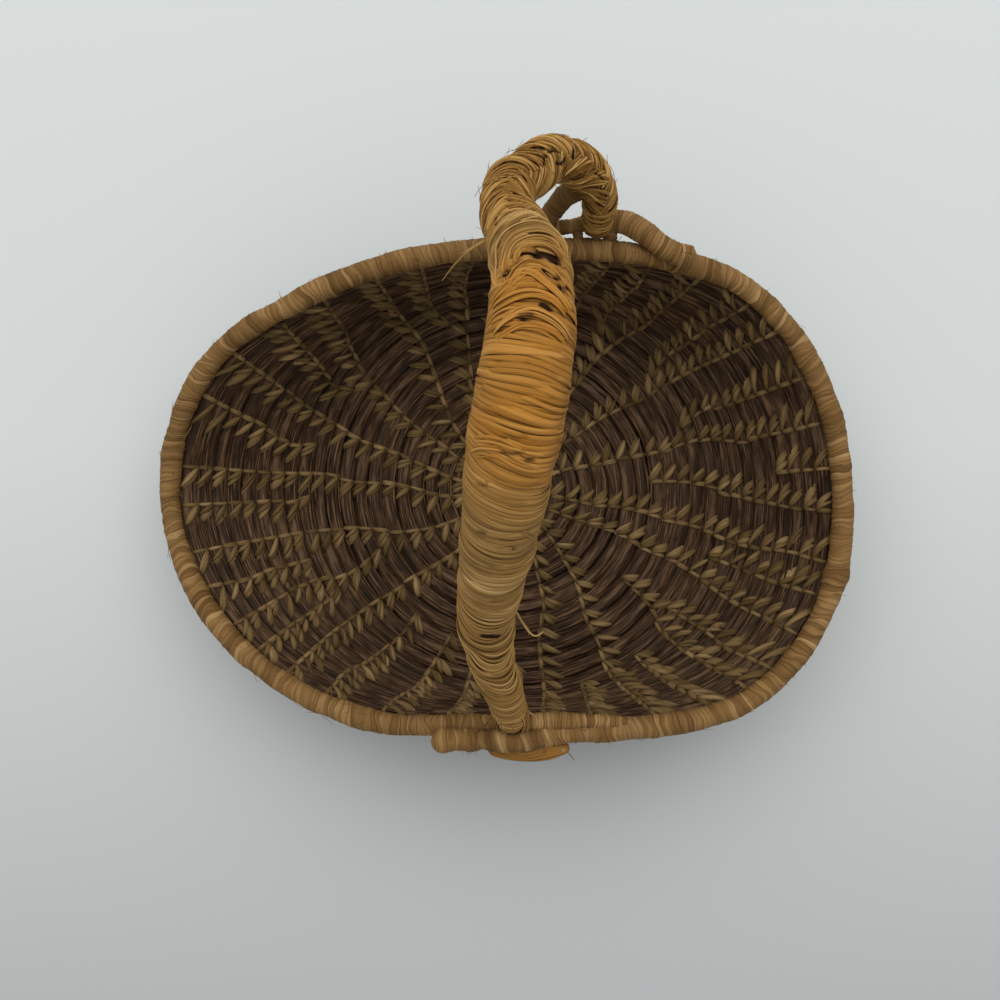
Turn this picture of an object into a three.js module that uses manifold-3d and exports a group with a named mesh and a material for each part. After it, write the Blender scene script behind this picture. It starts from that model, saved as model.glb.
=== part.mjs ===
// Coiled pine needle gathering basket with a wrapped arch handle. Sizes are in millimetres, +Z is up.
// The origin is the middle of the flat underside, under the knot that the coil starts from.
import * as THREE from 'three';
import Module from 'manifold-3d';

const wasm = await Module();
wasm.setup();

// Clearances
const seatGap = 0.3;
const rowGap = 0.6;
const endGap = 0.4;

// Needle coil: one bundle of needles, coiled clockwise and outwards from the centre
const coilDiameter = 5.2;
const coilPitch = coilDiameter + rowGap;
const knotRadius = 5.0;
const floorLoops = 13;
const sideLoops = 9;
const coilLoops = floorLoops + sideLoops;
const stepsPerLoop = 24;
const coilSides = 6;
const startAngle = THREE.MathUtils.degToRad(270);
const innerRowRadius = knotRadius + seatGap + coilDiameter / 2 + 0.2;
const lastRow = innerRowRadius + coilPitch * coilLoops;

// Side of the bowl: how far out along the coil it starts to lift, and over what distance it bends
const bendStart = 68;
const bendWidth = 32;
const tiltLag = 3;

// Rim: the last round of the coil, wrapped solid with raffia
const rimDiameter = 7.6;
const rimCoreDiameter = 5.2;
const rimSides = 8;
const rimSteps = 48;
const rimStep = (coilDiameter + rimDiameter) / 2 + rowGap;
const lapStart = 0.955;
const lapSettled = 1;
const rimTurns = 1.043;
const lapLift = THREE.MathUtils.degToRad(66);
// Radius of the rim's middle at every 20 degrees, anticlockwise from the right-hand end
const rimRadii = [
  120.4, 118, 111.1, 95.2, 86, 85.6, 91.5, 103.2, 124, 132, 123.2, 109.3, 96.4, 85.6, 86, 97, 115.6, 122.8,
];

// Handle: it springs from the rim at the front and comes down on the arch behind the rim. Both feet are placed
// from the rim's middle, and each stop lies a share of the way onward to the back foot, so far aside from the
// front foot and a share of the rise above it. The width is the diameter of the wrapped bundle.
const handleRise = 89.5;
const frontFoot = { degrees: 269.5, out: 2.1, up: 5.4 };
const backFoot = { degrees: 72.65, out: 8.4, up: 5.5 };
const handleRoute = [
  { onward: 0, aside: 0, rise: 0, width: 11.2 },
  { onward: 0.048, aside: -0.5, rise: 0.078, width: 11.6 },
  { onward: 0.107, aside: -3.5, rise: 0.168, width: 13.8 },
  { onward: 0.162, aside: -6.8, rise: 0.257, width: 14.8 },
  { onward: 0.216, aside: -8.2, rise: 0.352, width: 16.9 },
  { onward: 0.267, aside: -8.5, rise: 0.453, width: 18.6 },
  { onward: 0.316, aside: -7.1, rise: 0.553, width: 19.8 },
  { onward: 0.364, aside: -5.8, rise: 0.648, width: 21.3 },
  { onward: 0.426, aside: -3.9, rise: 0.771, width: 22.9 },
  { onward: 0.491, aside: -2.3, rise: 0.877, width: 24.2 },
  { onward: 0.553, aside: -0.6, rise: 0.955, width: 25.4 },
  { onward: 0.63, aside: 2, rise: 1, width: 25.2 },
  { onward: 0.708, aside: 3.8, rise: 0.978, width: 24.4 },
  { onward: 0.775, aside: 4.7, rise: 0.916, width: 22.8 },
  { onward: 0.834, aside: 4.4, rise: 0.832, width: 21.2 },
  { onward: 0.881, aside: 1.4, rise: 0.743, width: 19.4 },
  { onward: 0.923, aside: -1.4, rise: 0.67, width: 17.2 },
  { onward: 0.988, aside: -1.2, rise: 0.559, width: 16.3 },
  { onward: 1.028, aside: 5, rise: 0.464, width: 16 },
  { onward: 1.066, aside: 11.4, rise: 0.385, width: 15.6 },
  { onward: 1.068, aside: 20.8, rise: 0.307, width: 14.6 },
  { onward: 1.05, aside: 27.6, rise: 0.223, width: 13.2 },
  { onward: 1.023, aside: 29.4, rise: 0.134, width: 11.4 },
  { onward: 1, aside: 29.6, rise: 0.034, width: 10.6 },
];
const wrapThickness = 1.5;
const ribDepth = 0.5;
const ribPitch = 4;
const handleSides = 8;
const legEnd = 0.27;
const gripEnd = 0.705;

// Coil arch behind the rim, which the back foot of the handle stands on: it lies on top of the rim at its right
// end, leans away from it to the left and comes back to it behind the handle. Stops are placed from the rim's middle.
const archRoute = [
  { degrees: 51.5, out: -0.3, up: 7.2, width: 7.4 },
  { degrees: 55.7, out: 0.8, up: 7.4, width: 7.8 },
  { degrees: 59.5, out: 3.5, up: 6.8, width: 7.9 },
  { degrees: 63.9, out: 7.5, up: 4.8, width: 8 },
  { degrees: 67.3, out: 10.1, up: 3.4, width: 8 },
  { degrees: 72, out: 10.4, up: 1.4, width: 7.2 },
  { degrees: 76.8, out: 8.6, up: 0.2, width: 5.2 },
  { degrees: 81, out: 7.5, up: 0, width: 4.9 },
  { degrees: 84, out: 7.1, up: 0.2, width: 4.9 },
  { degrees: 87, out: 3.4, up: 0.6, width: 4.9 },
];
const strutDiameter = 5.8;
const strutRoute = [
  { degrees: 75.1, out: 17.6, up: 23 },
  { degrees: 79.6, out: 15.3, up: 15.5 },
  { degrees: 81.7, out: 12.2, up: 8.5 },
  { degrees: 83.4, out: 8.6, up: 4.2 },
];
const tieDiameter = 4.6;
const tieAngles = { left: 74.6, right: 68.2 };
const bindingLength = 5;
const bindingDiameter = 12.5;
const bindingAngle = 52.5;

// Pieces at the front foot
const lugDiameter = 7;
const lugRoute = [
  { degrees: 264.3, out: 6.9, up: 2.3 },
  { degrees: 273.1, out: 8.2, up: -3.2 },
  { degrees: 282.1, out: 7.0, up: -2.6 },
];
const endKnotRadius = 5.2;
const endKnotLength = 12;

const needles = () => new THREE.MeshStandardMaterial({ color: 0x43342a, roughness: 0.75 });
const raffia = () => new THREE.MeshStandardMaterial({ color: 0x98713d, roughness: 0.7 });
const handleRaffia = () => new THREE.MeshStandardMaterial({ color: 0xb8864c, roughness: 0.65 });

const turn = Math.PI * 2;
const smooth = (t) => THREE.MathUtils.smoothstep(t, 0, 1);

// A closed curve through the rim radii
function rimRadius(angle) {
  const count = rimRadii.length;
  const place = (((angle / turn) % 1) + 1) % 1 * count;
  const i = Math.floor(place);
  const t = place - i;
  const [a, b, c, d] = [-1, 0, 1, 2].map((k) => rimRadii[(i + k + count) % count]);
  return b + 0.5 * t * (c - a + t * (2 * a - 5 * b + 4 * c - d + t * (3 * (b - c) + d - a)));
}

// How many rounds, from 0 to 1, the coil has run clockwise since the start angle
const roundAt = (angle) => ((((startAngle - angle) / turn) % 1) + 1) % 1;
const rimRow = (rounds) => lastRow - coilPitch * (1 - rounds) + rimStep;

// The bowl's profile: distance along the coil rows, turned into a radius and a height
function profile(row, slope) {
  const pieceLength = 1;
  let r = Math.min(row, bendStart);
  let z = coilDiameter / 2;
  for (let s = bendStart; s < row; s += pieceLength) {
    const ds = Math.min(pieceLength, row - s);
    const lean = slope * smooth((s + ds / 2 - bendStart) / bendWidth);
    r += ds * Math.cos(lean);
    z += ds * Math.sin(lean);
  }
  return { r, z, tilt: slope * smooth((row - tiltLag - bendStart) / bendWidth) };
}

// Every row is equally thick, so the side stands steeper and taller where the rim is narrower
const slopes = new Map();
function slopeAt(angle) {
  const key = Math.round(((angle % turn) + turn) % turn * 1e6);
  if (!slopes.has(key)) {
    const row = rimRow(roundAt(angle));
    const target = rimRadius(angle);
    let [low, high] = [0, THREE.MathUtils.degToRad(110)];
    for (let i = 0; i < 40; i += 1) {
      const middle = (low + high) / 2;
      if (profile(row, middle).r > target) low = middle;
      else high = middle;
    }
    slopes.set(key, (low + high) / 2);
  }
  return slopes.get(key);
}

// Where a piece stands that is placed from the middle of the rim
function nearRim({ degrees, out, up }) {
  const angle = THREE.MathUtils.degToRad(degrees);
  const { at } = wallPlace(angle, rimRow(roundAt(angle)));
  return at.add(new THREE.Vector3(out * Math.cos(angle), out * Math.sin(angle), up));
}

function wallPlace(angle, row) {
  const { r, z, tilt } = profile(row, slopeAt(angle));
  return { angle, r, z, tilt, at: new THREE.Vector3(r * Math.cos(angle), r * Math.sin(angle), z) };
}

// A BufferGeometry from rings of points, closed by the given end faces
function fromRings(rings, faces) {
  const geometry = new THREE.BufferGeometry();
  geometry.setAttribute('position', new THREE.BufferAttribute(new Float32Array(rings.flat().flatMap((p) => [p.x, p.y, p.z])), 3));
  geometry.setIndex(faces);
  return geometry;
}

function skin(faces, first, second, sides) {
  for (let j = 0; j < sides; j += 1) {
    const k = (j + 1) % sides;
    faces.push(first + j, first + k, second + k, first + j, second + k, second + j);
  }
}

// Rings run anticlockwise round the direction of travel, so that the faces point out
function solidTube(rings) {
  const sides = rings[0].length;
  const faces = [];
  for (let i = 0; i + 1 < rings.length; i += 1) skin(faces, i * sides, (i + 1) * sides, sides);
  const end = (rings.length - 1) * sides;
  for (let j = 1; j + 1 < sides; j += 1) faces.push(0, j + 1, j, end, end + j, end + j + 1);
  return fromRings(rings, faces);
}

function hollowTube(outer, inner) {
  const sides = outer[0].length;
  const faces = [];
  const bore = outer.length * sides;
  for (let i = 0; i + 1 < outer.length; i += 1) skin(faces, i * sides, (i + 1) * sides, sides);
  for (let i = 0; i + 1 < inner.length; i += 1) skin(faces, bore + (i + 1) * sides, bore + i * sides, sides);
  skin(faces, bore, 0, sides);
  skin(faces, (outer.length - 1) * sides, bore + (inner.length - 1) * sides, sides);
  return fromRings([...outer, ...inner], faces);
}

function ring(centre, across, up, halfWidth, halfHeight, sides, phase = 0) {
  return Array.from({ length: sides }, (_, j) => {
    const a = phase + turn * j / sides;
    return centre.clone().addScaledVector(across, halfWidth * Math.cos(a)).addScaledVector(up, halfHeight * Math.sin(a));
  });
}

// One ring of the needle coil, with its flats above and below and its corners towards the next rows
function coilRing(place, halfWidth) {
  const out = new THREE.Vector3(Math.cos(place.angle), Math.sin(place.angle), 0);
  const across = out.clone().multiplyScalar(Math.cos(place.tilt)).setZ(Math.sin(place.tilt));
  const up = out.clone().multiplyScalar(-Math.sin(place.tilt)).setZ(Math.cos(place.tilt));
  return ring(place.at, across, up, halfWidth, halfWidth / Math.cos(Math.PI / coilSides), coilSides);
}

function coilPlaces(fromLoop, toLoop) {
  const places = [];
  const steps = Math.round((toLoop - fromLoop) * stepsPerLoop);
  for (let i = 0; i <= steps; i += 1) {
    const loop = fromLoop + i / stepsPerLoop;
    const angle = startAngle - turn * loop;
    places.push(wallPlace(angle, innerRowRadius + coilPitch * loop));
  }
  return places;
}

// Draws an end back along the tube, to leave a gap to the piece that carries on from it
function drawBack(places, gap, atEnd) {
  const [end, next] = atEnd ? [places.length - 1, places.length - 2] : [0, 1];
  const shift = places[next].at.clone().sub(places[end].at).setLength(gap);
  places[end] = { ...places[end], at: places[end].at.clone().add(shift) };
  return places;
}

function leastSelfGap(points, diameter, cuts = 4) {
  const fine = [];
  for (let i = 0; i + 1 < points.length; i += 1) {
    for (let k = 0; k < cuts; k += 1) fine.push(points[i].clone().lerp(points[i + 1], k / cuts));
  }
  const along = [0];
  for (let i = 1; i < fine.length; i += 1) along.push(along[i - 1] + fine[i].distanceTo(fine[i - 1]));
  let least = Infinity;
  for (let i = 0; i < fine.length; i += 1) {
    for (let j = i + 1; j < fine.length; j += 1) {
      if (along[j] - along[i] > 4 * diameter) least = Math.min(least, fine[i].distanceTo(fine[j]));
    }
  }
  return least - diameter;
}

// Tubes along a free route, with frames that don't twist
function framesAlong(points) {
  const frames = [];
  let across = null;
  points.forEach((point, i) => {
    const before = points[Math.max(i - 1, 0)];
    const after = points[Math.min(i + 1, points.length - 1)];
    const along = after.clone().sub(before).normalize();
    if (!across) across = new THREE.Vector3(0, 0, 1).cross(along).normalize();
    across = across.clone().addScaledVector(along, -across.dot(along)).normalize();
    frames.push({ point, along, across, up: along.clone().cross(across) });
  });
  return frames;
}

const roundRing = (frame, radius, sides) =>
  ring(frame.point, frame.across, frame.up, radius, radius, sides, Math.PI / sides);

// The radius is one number, or a function of the place along the points, from 0 to 1
function tubeAlong(points, radius, sides) {
  const radiusAt = typeof radius === 'function' ? radius : () => radius;
  return solidTube(framesAlong(points).map((frame, i) => roundRing(frame, radiusAt(i / (points.length - 1)), sides)));
}

function curveThrough(points) {
  const curve = new THREE.CatmullRomCurve3(points, false, 'centripetal');
  curve.arcLengthDivisions = 600;
  return curve;
}

// How far along its curve, from 0 to 1, each stop of a route lies
function sharesOf(curve, route) {
  const samples = curve.arcLengthDivisions;
  const lengths = curve.getLengths(samples);
  return route.map((_, i) => lengths[Math.round(samples * i / (route.length - 1))] / lengths[samples]);
}

function widthAt(route, shares, share) {
  let i = 0;
  while (i + 2 < shares.length && shares[i + 1] < share) i += 1;
  const t = THREE.MathUtils.clamp((share - shares[i]) / (shares[i + 1] - shares[i]), 0, 1);
  return THREE.MathUtils.lerp(route[i].width, route[i + 1].width, t);
}

// Manifold bodies, for the seats that neighbours leave in a piece
function body(geometry) {
  const mesh = new wasm.Mesh({
    numProp: 3,
    vertProperties: geometry.getAttribute('position').array,
    triVerts: new Uint32Array(geometry.getIndex().array),
  });
  return new wasm.Manifold(mesh);
}

function fromBody(solid) {
  const mesh = solid.getMesh();
  const geometry = new THREE.BufferGeometry();
  geometry.setAttribute('position', new THREE.BufferAttribute(new Float32Array(mesh.vertProperties), 3));
  geometry.setIndex([...mesh.triVerts]);
  return geometry;
}

// The largest body that is left after the neighbours' seats are cut out
function seated(geometry, neighbours) {
  let solid = body(geometry);
  neighbours.forEach((neighbour) => { solid = solid.subtract(neighbour); });
  const parts = solid.decompose();
  parts.sort((a, b) => b.volume() - a.volume());
  return fromBody(parts[0]);
}

// Knot at the centre: a snail that grows to meet the inner side of the first loop, with a step where the coil starts
const knotLevels = [[1, 0], [0, 1.3], [0, 3.6], [1.6, coilDiameter]];
const knotSides = 24;
function knotRing(inset, height) {
  return Array.from({ length: knotSides + 1 }, (_, j) => {
    const rounds = 1 - j / knotSides;
    const r = knotRadius + coilPitch * rounds - inset;
    const angle = startAngle - turn * rounds;
    return new THREE.Vector3(r * Math.cos(angle), r * Math.sin(angle), height);
  });
}
const knotRings = knotLevels.map(([inset, height]) => knotRing(inset, height));
const knotFaces = [];
const knotPoints = knotSides + 1;
for (let i = 0; i + 1 < knotLevels.length; i += 1) skin(knotFaces, i * knotPoints, (i + 1) * knotPoints, knotPoints);
const knotMiddle = knotLevels.length * knotPoints;
for (let j = 0; j < knotPoints; j += 1) {
  const k = (j + 1) % knotPoints;
  knotFaces.push(knotMiddle, k, j, knotMiddle + 1, knotMiddle - knotPoints + j, knotMiddle - knotPoints + k);
}
const knotMiddles = [new THREE.Vector3(0, 0, 0), new THREE.Vector3(0, 0, coilDiameter + 0.3)];
const centreKnot = fromRings([...knotRings, knotMiddles], knotFaces);

// Floor and side of the bowl
const floorPlaces = drawBack(drawBack(coilPlaces(0, floorLoops), endGap, true), endGap, false);
const sidePlaces = drawBack(coilPlaces(floorLoops, coilLoops), endGap, true);
const floorCoil = solidTube(floorPlaces.map((place) => coilRing(place, coilDiameter / 2)));
const sideCoil = solidTube(sidePlaces.map((place) => coilRing(place, coilDiameter / 2)));
const wholeCoil = [...floorPlaces, ...sidePlaces.slice(1)].map((place) => place.at);
console.log(`needle coil: ${coilLoops} loops, least gap to itself ${leastSelfGap(wholeCoil, coilDiameter).toFixed(2)} mm`);

// The rim follows the last row, then laps outside its own start at the front
function rimPlace(rounds) {
  const angle = startAngle - turn * rounds;
  const plain = wallPlace(angle, rimRow(Math.min(rounds, 1))).at;
  if (rounds < lapStart) return plain;
  const inner = wallPlace(angle, rimRow(rounds - 1)).at;
  const reach = rimDiameter + rowGap + endGap;
  const out = new THREE.Vector3(Math.cos(angle), Math.sin(angle), 0);
  const lapped = inner.addScaledVector(out, reach * Math.cos(lapLift));
  lapped.z += reach * Math.sin(lapLift);
  return plain.lerp(lapped, smooth((rounds - lapStart) / (lapSettled - lapStart)));
}
const rimCount = Math.round(rimTurns * rimSteps);
const rimPoints = Array.from({ length: rimCount + 1 }, (_, i) => rimPlace(i * rimTurns / rimCount));
const rimFrames = framesAlong(rimPoints);
const tubeRadius = rimDiameter / 2;
const coreRadius = rimCoreDiameter / 2;
const rimWrap = hollowTube(
  rimFrames.map((frame) => roundRing(frame, tubeRadius, rimSides)),
  rimFrames.map((frame) => roundRing(frame, coreRadius + seatGap + 0.05, rimSides)),
);
const rimCore = solidTube(rimFrames.map((frame) => roundRing(frame, coreRadius, rimSides)));
console.log(`rim: least gap to itself ${leastSelfGap(rimPoints, rimDiameter).toFixed(2)} mm`);

// Inflated copies of what other pieces sit on
const rimSeat = body(tubeAlong(rimPoints, tubeRadius + seatGap, rimSides));
const sideSeat = body(solidTube(sidePlaces.map((place) => coilRing(place, coilDiameter / 2 + rowGap / 2 - 0.02))));

// Handle
const handleStart = nearRim(frontFoot);
const handleReach = nearRim(backFoot).y - handleStart.y;
const handleStops = handleRoute.map(({ onward, aside, rise }) =>
  handleStart.clone().add(new THREE.Vector3(aside, onward * handleReach, rise * handleRise)));
const handleCurve = curveThrough(handleStops);
const handleLength = handleCurve.getLength();
const ribCount = Math.round(handleLength / ribPitch);
const handleShareList = sharesOf(handleCurve, handleRoute);
const handleRadius = (share) => widthAt(handleRoute, handleShareList, share) / 2;
const coreRadiusAt = (share) => Math.min(handleRadius(share), 9.5) - wrapThickness - seatGap;
const handleShares = Array.from({ length: 2 * ribCount + 1 }, (_, i) => i / (2 * ribCount));
const handleFrames = framesAlong(handleShares.map((share) => handleCurve.getPointAt(share)));

function wrapBetween(fromShare, toShare, swell) {
  const first = 2 * Math.round(fromShare * ribCount);
  const last = 2 * Math.round(toShare * ribCount);
  const outer = [];
  const inner = [];
  for (let i = first; i <= last; i += 1) {
    const share = handleShares[i];
    const groove = (i - first) % 2 === 0 ? ribDepth : 0;
    const frame = { ...handleFrames[i] };
    if (i === last && last < 2 * ribCount) frame.point = frame.point.clone().addScaledVector(frame.along, -endGap);
    outer.push(roundRing(frame, handleRadius(share) + swell - groove, handleSides));
    if (i % 2 === 0) {
      inner.push(roundRing(frame, coreRadiusAt(share) + seatGap + 0.08, handleSides));
    }
  }
  return hollowTube(outer, inner);
}

const archCurve = curveThrough(archRoute.map(nearRim));
const archShares = sharesOf(archCurve, archRoute);
const archRadius = (share) => widthAt(archRoute, archShares, share) / 2;
const archPoints = archCurve.getSpacedPoints(28);
const archSeat = body(tubeAlong(archPoints, (share) => archRadius(share) + seatGap, rimSides));
const strutPoints = curveThrough(strutRoute.map(nearRim)).getSpacedPoints(10);
const handleCoreTube = solidTube(handleFrames.map((frame, i) => roundRing(frame, coreRadiusAt(handleShares[i]), handleSides)).filter((_, i) => i % 2 === 0));
const handleCore = seated(handleCoreTube, [rimSeat, archSeat, sideSeat]);
const legWrap = seated(wrapBetween(0, legEnd, 0), [rimSeat, sideSeat]);
const gripWrap = wrapBetween(legEnd, gripEnd, 0.35);
const hookWrap = seated(wrapBetween(gripEnd, 1, 0), [rimSeat, archSeat, sideSeat]);
const handleSeat = body(solidTube(handleFrames.map((frame, i) => roundRing(frame, handleRadius(handleShares[i]) + seatGap + 0.05, handleSides))));

// Arch, strut and ties behind the rim
const backArch = seated(tubeAlong(archPoints, archRadius, rimSides), [rimSeat, sideSeat]);
const strutSeat = body(tubeAlong(strutPoints, strutDiameter / 2 + seatGap, rimSides));
const backStrut = seated(tubeAlong(strutPoints, strutDiameter / 2, rimSides), [rimSeat, archSeat, handleSeat, sideSeat]);

function tieAt(degrees) {
  const angle = THREE.MathUtils.degToRad(degrees);
  const start = rimPlace(roundAt(angle));
  const nearest = archPoints.reduce((a, b) => (b.distanceTo(start) < a.distanceTo(start) ? b : a));
  const middle = start.clone().lerp(nearest, 0.5);
  const tube = tubeAlong([start.clone(), middle, nearest.clone()], tieDiameter / 2, rimSides);
  return seated(tube, [rimSeat, archSeat, handleSeat, strutSeat, sideSeat]);
}
const ties = Object.fromEntries(Object.entries(tieAngles).map(([name, degrees]) => [name, tieAt(degrees)]));

function bindingAt(degrees) {
  const angle = THREE.MathUtils.degToRad(degrees);
  const centre = rimPlace(roundAt(angle));
  const nearest = archPoints.reduce((a, b) => (b.distanceTo(centre) < a.distanceTo(centre) ? b : a));
  const along = rimPlace(roundAt(angle + 0.02)).sub(rimPlace(roundAt(angle - 0.02))).normalize();
  const middle = centre.lerp(nearest, 0.5);
  const ends = [-0.5, 0.5].map((k) => middle.clone().addScaledVector(along, k * bindingLength));
  return seated(tubeAlong(ends, bindingDiameter / 2, 12), [rimSeat, archSeat, sideSeat]);
}
const archBinding = bindingAt(bindingAngle);

// Lug under the front foot, and the knot that closes the end of the rim
const lugPoints = curveThrough(lugRoute.map(nearRim)).getSpacedPoints(8);
const frontLug = seated(tubeAlong(lugPoints, lugDiameter / 2, rimSides), [rimSeat, sideSeat, handleSeat]);
const rimEnd = rimFrames[rimFrames.length - 1];
const knotShape = [
  [0, 0], [0.62, 0.06], [0.9, 0.22], [1, 0.48], [0.94, 0.72], [0.66, 0.92], [0, 1],
].map(([r, y]) => new THREE.Vector2(r * endKnotRadius, (y - 0.62) * endKnotLength));
const endKnotBody = new THREE.LatheGeometry(knotShape, 12);
endKnotBody.applyQuaternion(new THREE.Quaternion().setFromUnitVectors(new THREE.Vector3(0, 1, 0), rimEnd.along));
endKnotBody.translate(rimEnd.point.x, rimEnd.point.y, rimEnd.point.z);

// Lathes repeat their seam and poles, so the points are joined before they are used as bodies
function joined(geometry) {
  const position = geometry.getAttribute('position');
  const index = geometry.getIndex().array;
  const found = new Map();
  const points = [];
  const replace = [];
  for (let i = 0; i < position.count; i += 1) {
    const key = [position.getX(i), position.getY(i), position.getZ(i)].map((v) => Math.round(v * 1e4)).join();
    if (!found.has(key)) {
      found.set(key, points.length);
      points.push(new THREE.Vector3().fromBufferAttribute(position, i));
    }
    replace.push(found.get(key));
  }
  const faces = [];
  for (let i = 0; i < index.length; i += 3) {
    const [a, b, c] = [replace[index[i]], replace[index[i + 1]], replace[index[i + 2]]];
    if (a !== b && b !== c && a !== c) faces.push(a, b, c);
  }
  return fromRings([points], faces);
}
const endKnot = seated(joined(endKnotBody), [rimSeat, sideSeat, handleSeat]);

const basket = new THREE.Group();
basket.name = 'pine_needle_basket';
function add(name, geometry, material) {
  geometry.computeVertexNormals();
  const mesh = new THREE.Mesh(geometry, material);
  mesh.name = name;
  basket.add(mesh);
}
add('centre_knot', centreKnot, raffia());
add('floor_coil', floorCoil, needles());
add('side_coil', sideCoil, needles());
add('rim_core', rimCore, needles());
add('rim_wrap', rimWrap, raffia());
add('rim_end_knot', endKnot, raffia());
add('front_lug', frontLug, raffia());
add('handle_core', handleCore, needles());
add('front_leg_wrap', legWrap, handleRaffia());
add('grip_wrap', gripWrap, handleRaffia());
add('hook_wrap', hookWrap, handleRaffia());
add('back_arch', backArch, raffia());
add('back_strut', backStrut, raffia());
add('back_tie_left', ties.left, raffia());
add('back_tie_right', ties.right, raffia());
add('arch_binding', archBinding, raffia());

export default basket;
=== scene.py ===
"""A coiled pine needle gathering basket: bundles sewn with raffia, a wrapped rim and a wrapped arch handle.

Lengths are in millimetres until a mesh is made, and angles are in radians unless a name says degrees.
"""
import math

import bpy
import numpy as np
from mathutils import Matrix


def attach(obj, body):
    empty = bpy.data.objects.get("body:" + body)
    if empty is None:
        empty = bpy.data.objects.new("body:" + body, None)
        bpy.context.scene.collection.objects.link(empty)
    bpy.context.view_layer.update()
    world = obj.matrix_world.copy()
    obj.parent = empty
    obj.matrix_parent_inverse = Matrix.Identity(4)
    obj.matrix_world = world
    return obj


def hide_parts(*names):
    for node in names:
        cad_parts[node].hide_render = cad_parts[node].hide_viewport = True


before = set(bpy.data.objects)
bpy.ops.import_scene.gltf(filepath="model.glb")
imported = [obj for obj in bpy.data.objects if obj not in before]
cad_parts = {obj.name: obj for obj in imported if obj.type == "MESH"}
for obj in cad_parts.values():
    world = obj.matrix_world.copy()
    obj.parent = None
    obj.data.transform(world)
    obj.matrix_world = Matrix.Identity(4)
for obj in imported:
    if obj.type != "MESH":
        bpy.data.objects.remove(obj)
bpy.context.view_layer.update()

MM = 0.001
TURN = 2 * math.pi

# Camera: nearly straight above the basket, as the photograph was taken
CAMERA_AT = (-4.96, -4.13, 430)
FOCAL_PIXELS = 1040
PHOTO_PIXELS = 1000
PHOTO_CENTRE = (512, 490)
PIXELS_PER_MM = 2.42

# Needle coil, clockwise and outwards from the centre
COIL_RADIUS = 2.6
COIL_PITCH = 5.8
FLOOR_LOOPS = 13
COIL_LOOPS = 22
START_ANGLE = math.radians(270)
FIRST_ROW = 8.1
LAST_ROW = FIRST_ROW + COIL_PITCH * COIL_LOOPS
BEND_START = 68
BEND_WIDTH = 32
BUNDLE_RADIUS = 2.95

# Rim: its radii are read every 20 degrees from the right
RIM_RADIUS = 3.8
RIM_STEP = COIL_RADIUS + RIM_RADIUS + 0.6
LAP_START = 0.955
LAP_SETTLED = 1
RIM_TURNS = 1.043
LAP_LIFT = math.radians(66)
RIM_RADII = np.array([120.4, 118, 111.1, 95.2, 86, 85.6, 91.5, 103.2, 124,
                      132, 123.2, 109.3, 96.4, 85.6, 86, 97, 115.6, 122.8])

# Where the rim is thicker or thinner: (place in turns, half width of the place, millimetres)
NOTCH_AT = 1.0195
RIM_SWELLS = [(0.94, 0.03, 0.35), (0.7915, 0.0045, 0.9), (NOTCH_AT, 0.003, -1.1)]

# Handle: share of the way onward from the front foot to the back foot, millimetres aside from the front foot,
# share of the rise, and width of the wound bundle
HANDLE_ROUTE = np.array([
    [0, 0, 0, 11.2], [0.048, -0.5, 0.078, 11.6], [0.107, -3.5, 0.168, 13.8], [0.162, -6.8, 0.257, 14.8],
    [0.216, -8.2, 0.352, 16.9], [0.267, -8.5, 0.453, 18.6], [0.316, -7.1, 0.553, 19.8],
    [0.364, -5.8, 0.648, 21.3], [0.426, -3.9, 0.771, 22.9], [0.491, -2.3, 0.877, 24.2],
    [0.553, -0.6, 0.955, 25.4], [0.63, 2, 1, 25.2], [0.708, 3.8, 0.978, 24.4], [0.775, 4.7, 0.916, 22.8],
    [0.834, 4.4, 0.832, 21.2], [0.881, 1.4, 0.743, 19.4], [0.923, -1.4, 0.67, 17.2],
    [0.988, -1.2, 0.559, 16.3], [1.028, 5, 0.464, 16], [1.066, 11.4, 0.385, 15.6],
    [1.068, 20.8, 0.307, 14.6], [1.05, 27.6, 0.223, 13.2], [1.023, 29.4, 0.134, 11.4],
    [1, 29.6, 0.034, 10.6],
])
HANDLE_RISE = 89.5
LEG_END = 79
GRIP_END = 206
FOLD_AT = GRIP_END - 9

# Where the hook's herringbone ends, and where the turns that close it begin
SEAM_END = 287
LAST_TURNS_FROM = 281

# Places from the rim's middle: degrees round the bowl, millimetres out and up, and width
FRONT_FOOT = (269.5, 2.1, 5.4)
BACK_FOOT = (72.65, 8.4, 5.5)
ARCH_ROUTE = [
    (51.5, -0.3, 7.2, 7.4), (55.7, 0.8, 7.4, 7.8), (59.5, 3.5, 6.8, 7.9), (63.9, 7.5, 4.8, 8),
    (67.3, 10.1, 3.4, 8), (72, 10.4, 1.4, 7.2), (76.8, 8.6, 0.2, 5.2), (81, 7.5, 0, 4.9),
    (84, 7.1, 0.2, 4.9), (87, 3.4, 0.6, 4.9),
]
STRUT_ROUTE = [
    (75.1, 17.6, 23, 5.8), (79.6, 15.3, 15.5, 5.8), (81.7, 12.2, 8.5, 5.8), (83.4, 8.6, 4.2, 5.8),
    (84.3, 6.9, 0.6, 4.6),
]
LUG_ROUTE = [(264.3, 6.9, 2.3, 7), (273.1, 8.2, -3.2, 7), (282.1, 7, -2.6, 7)]

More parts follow.
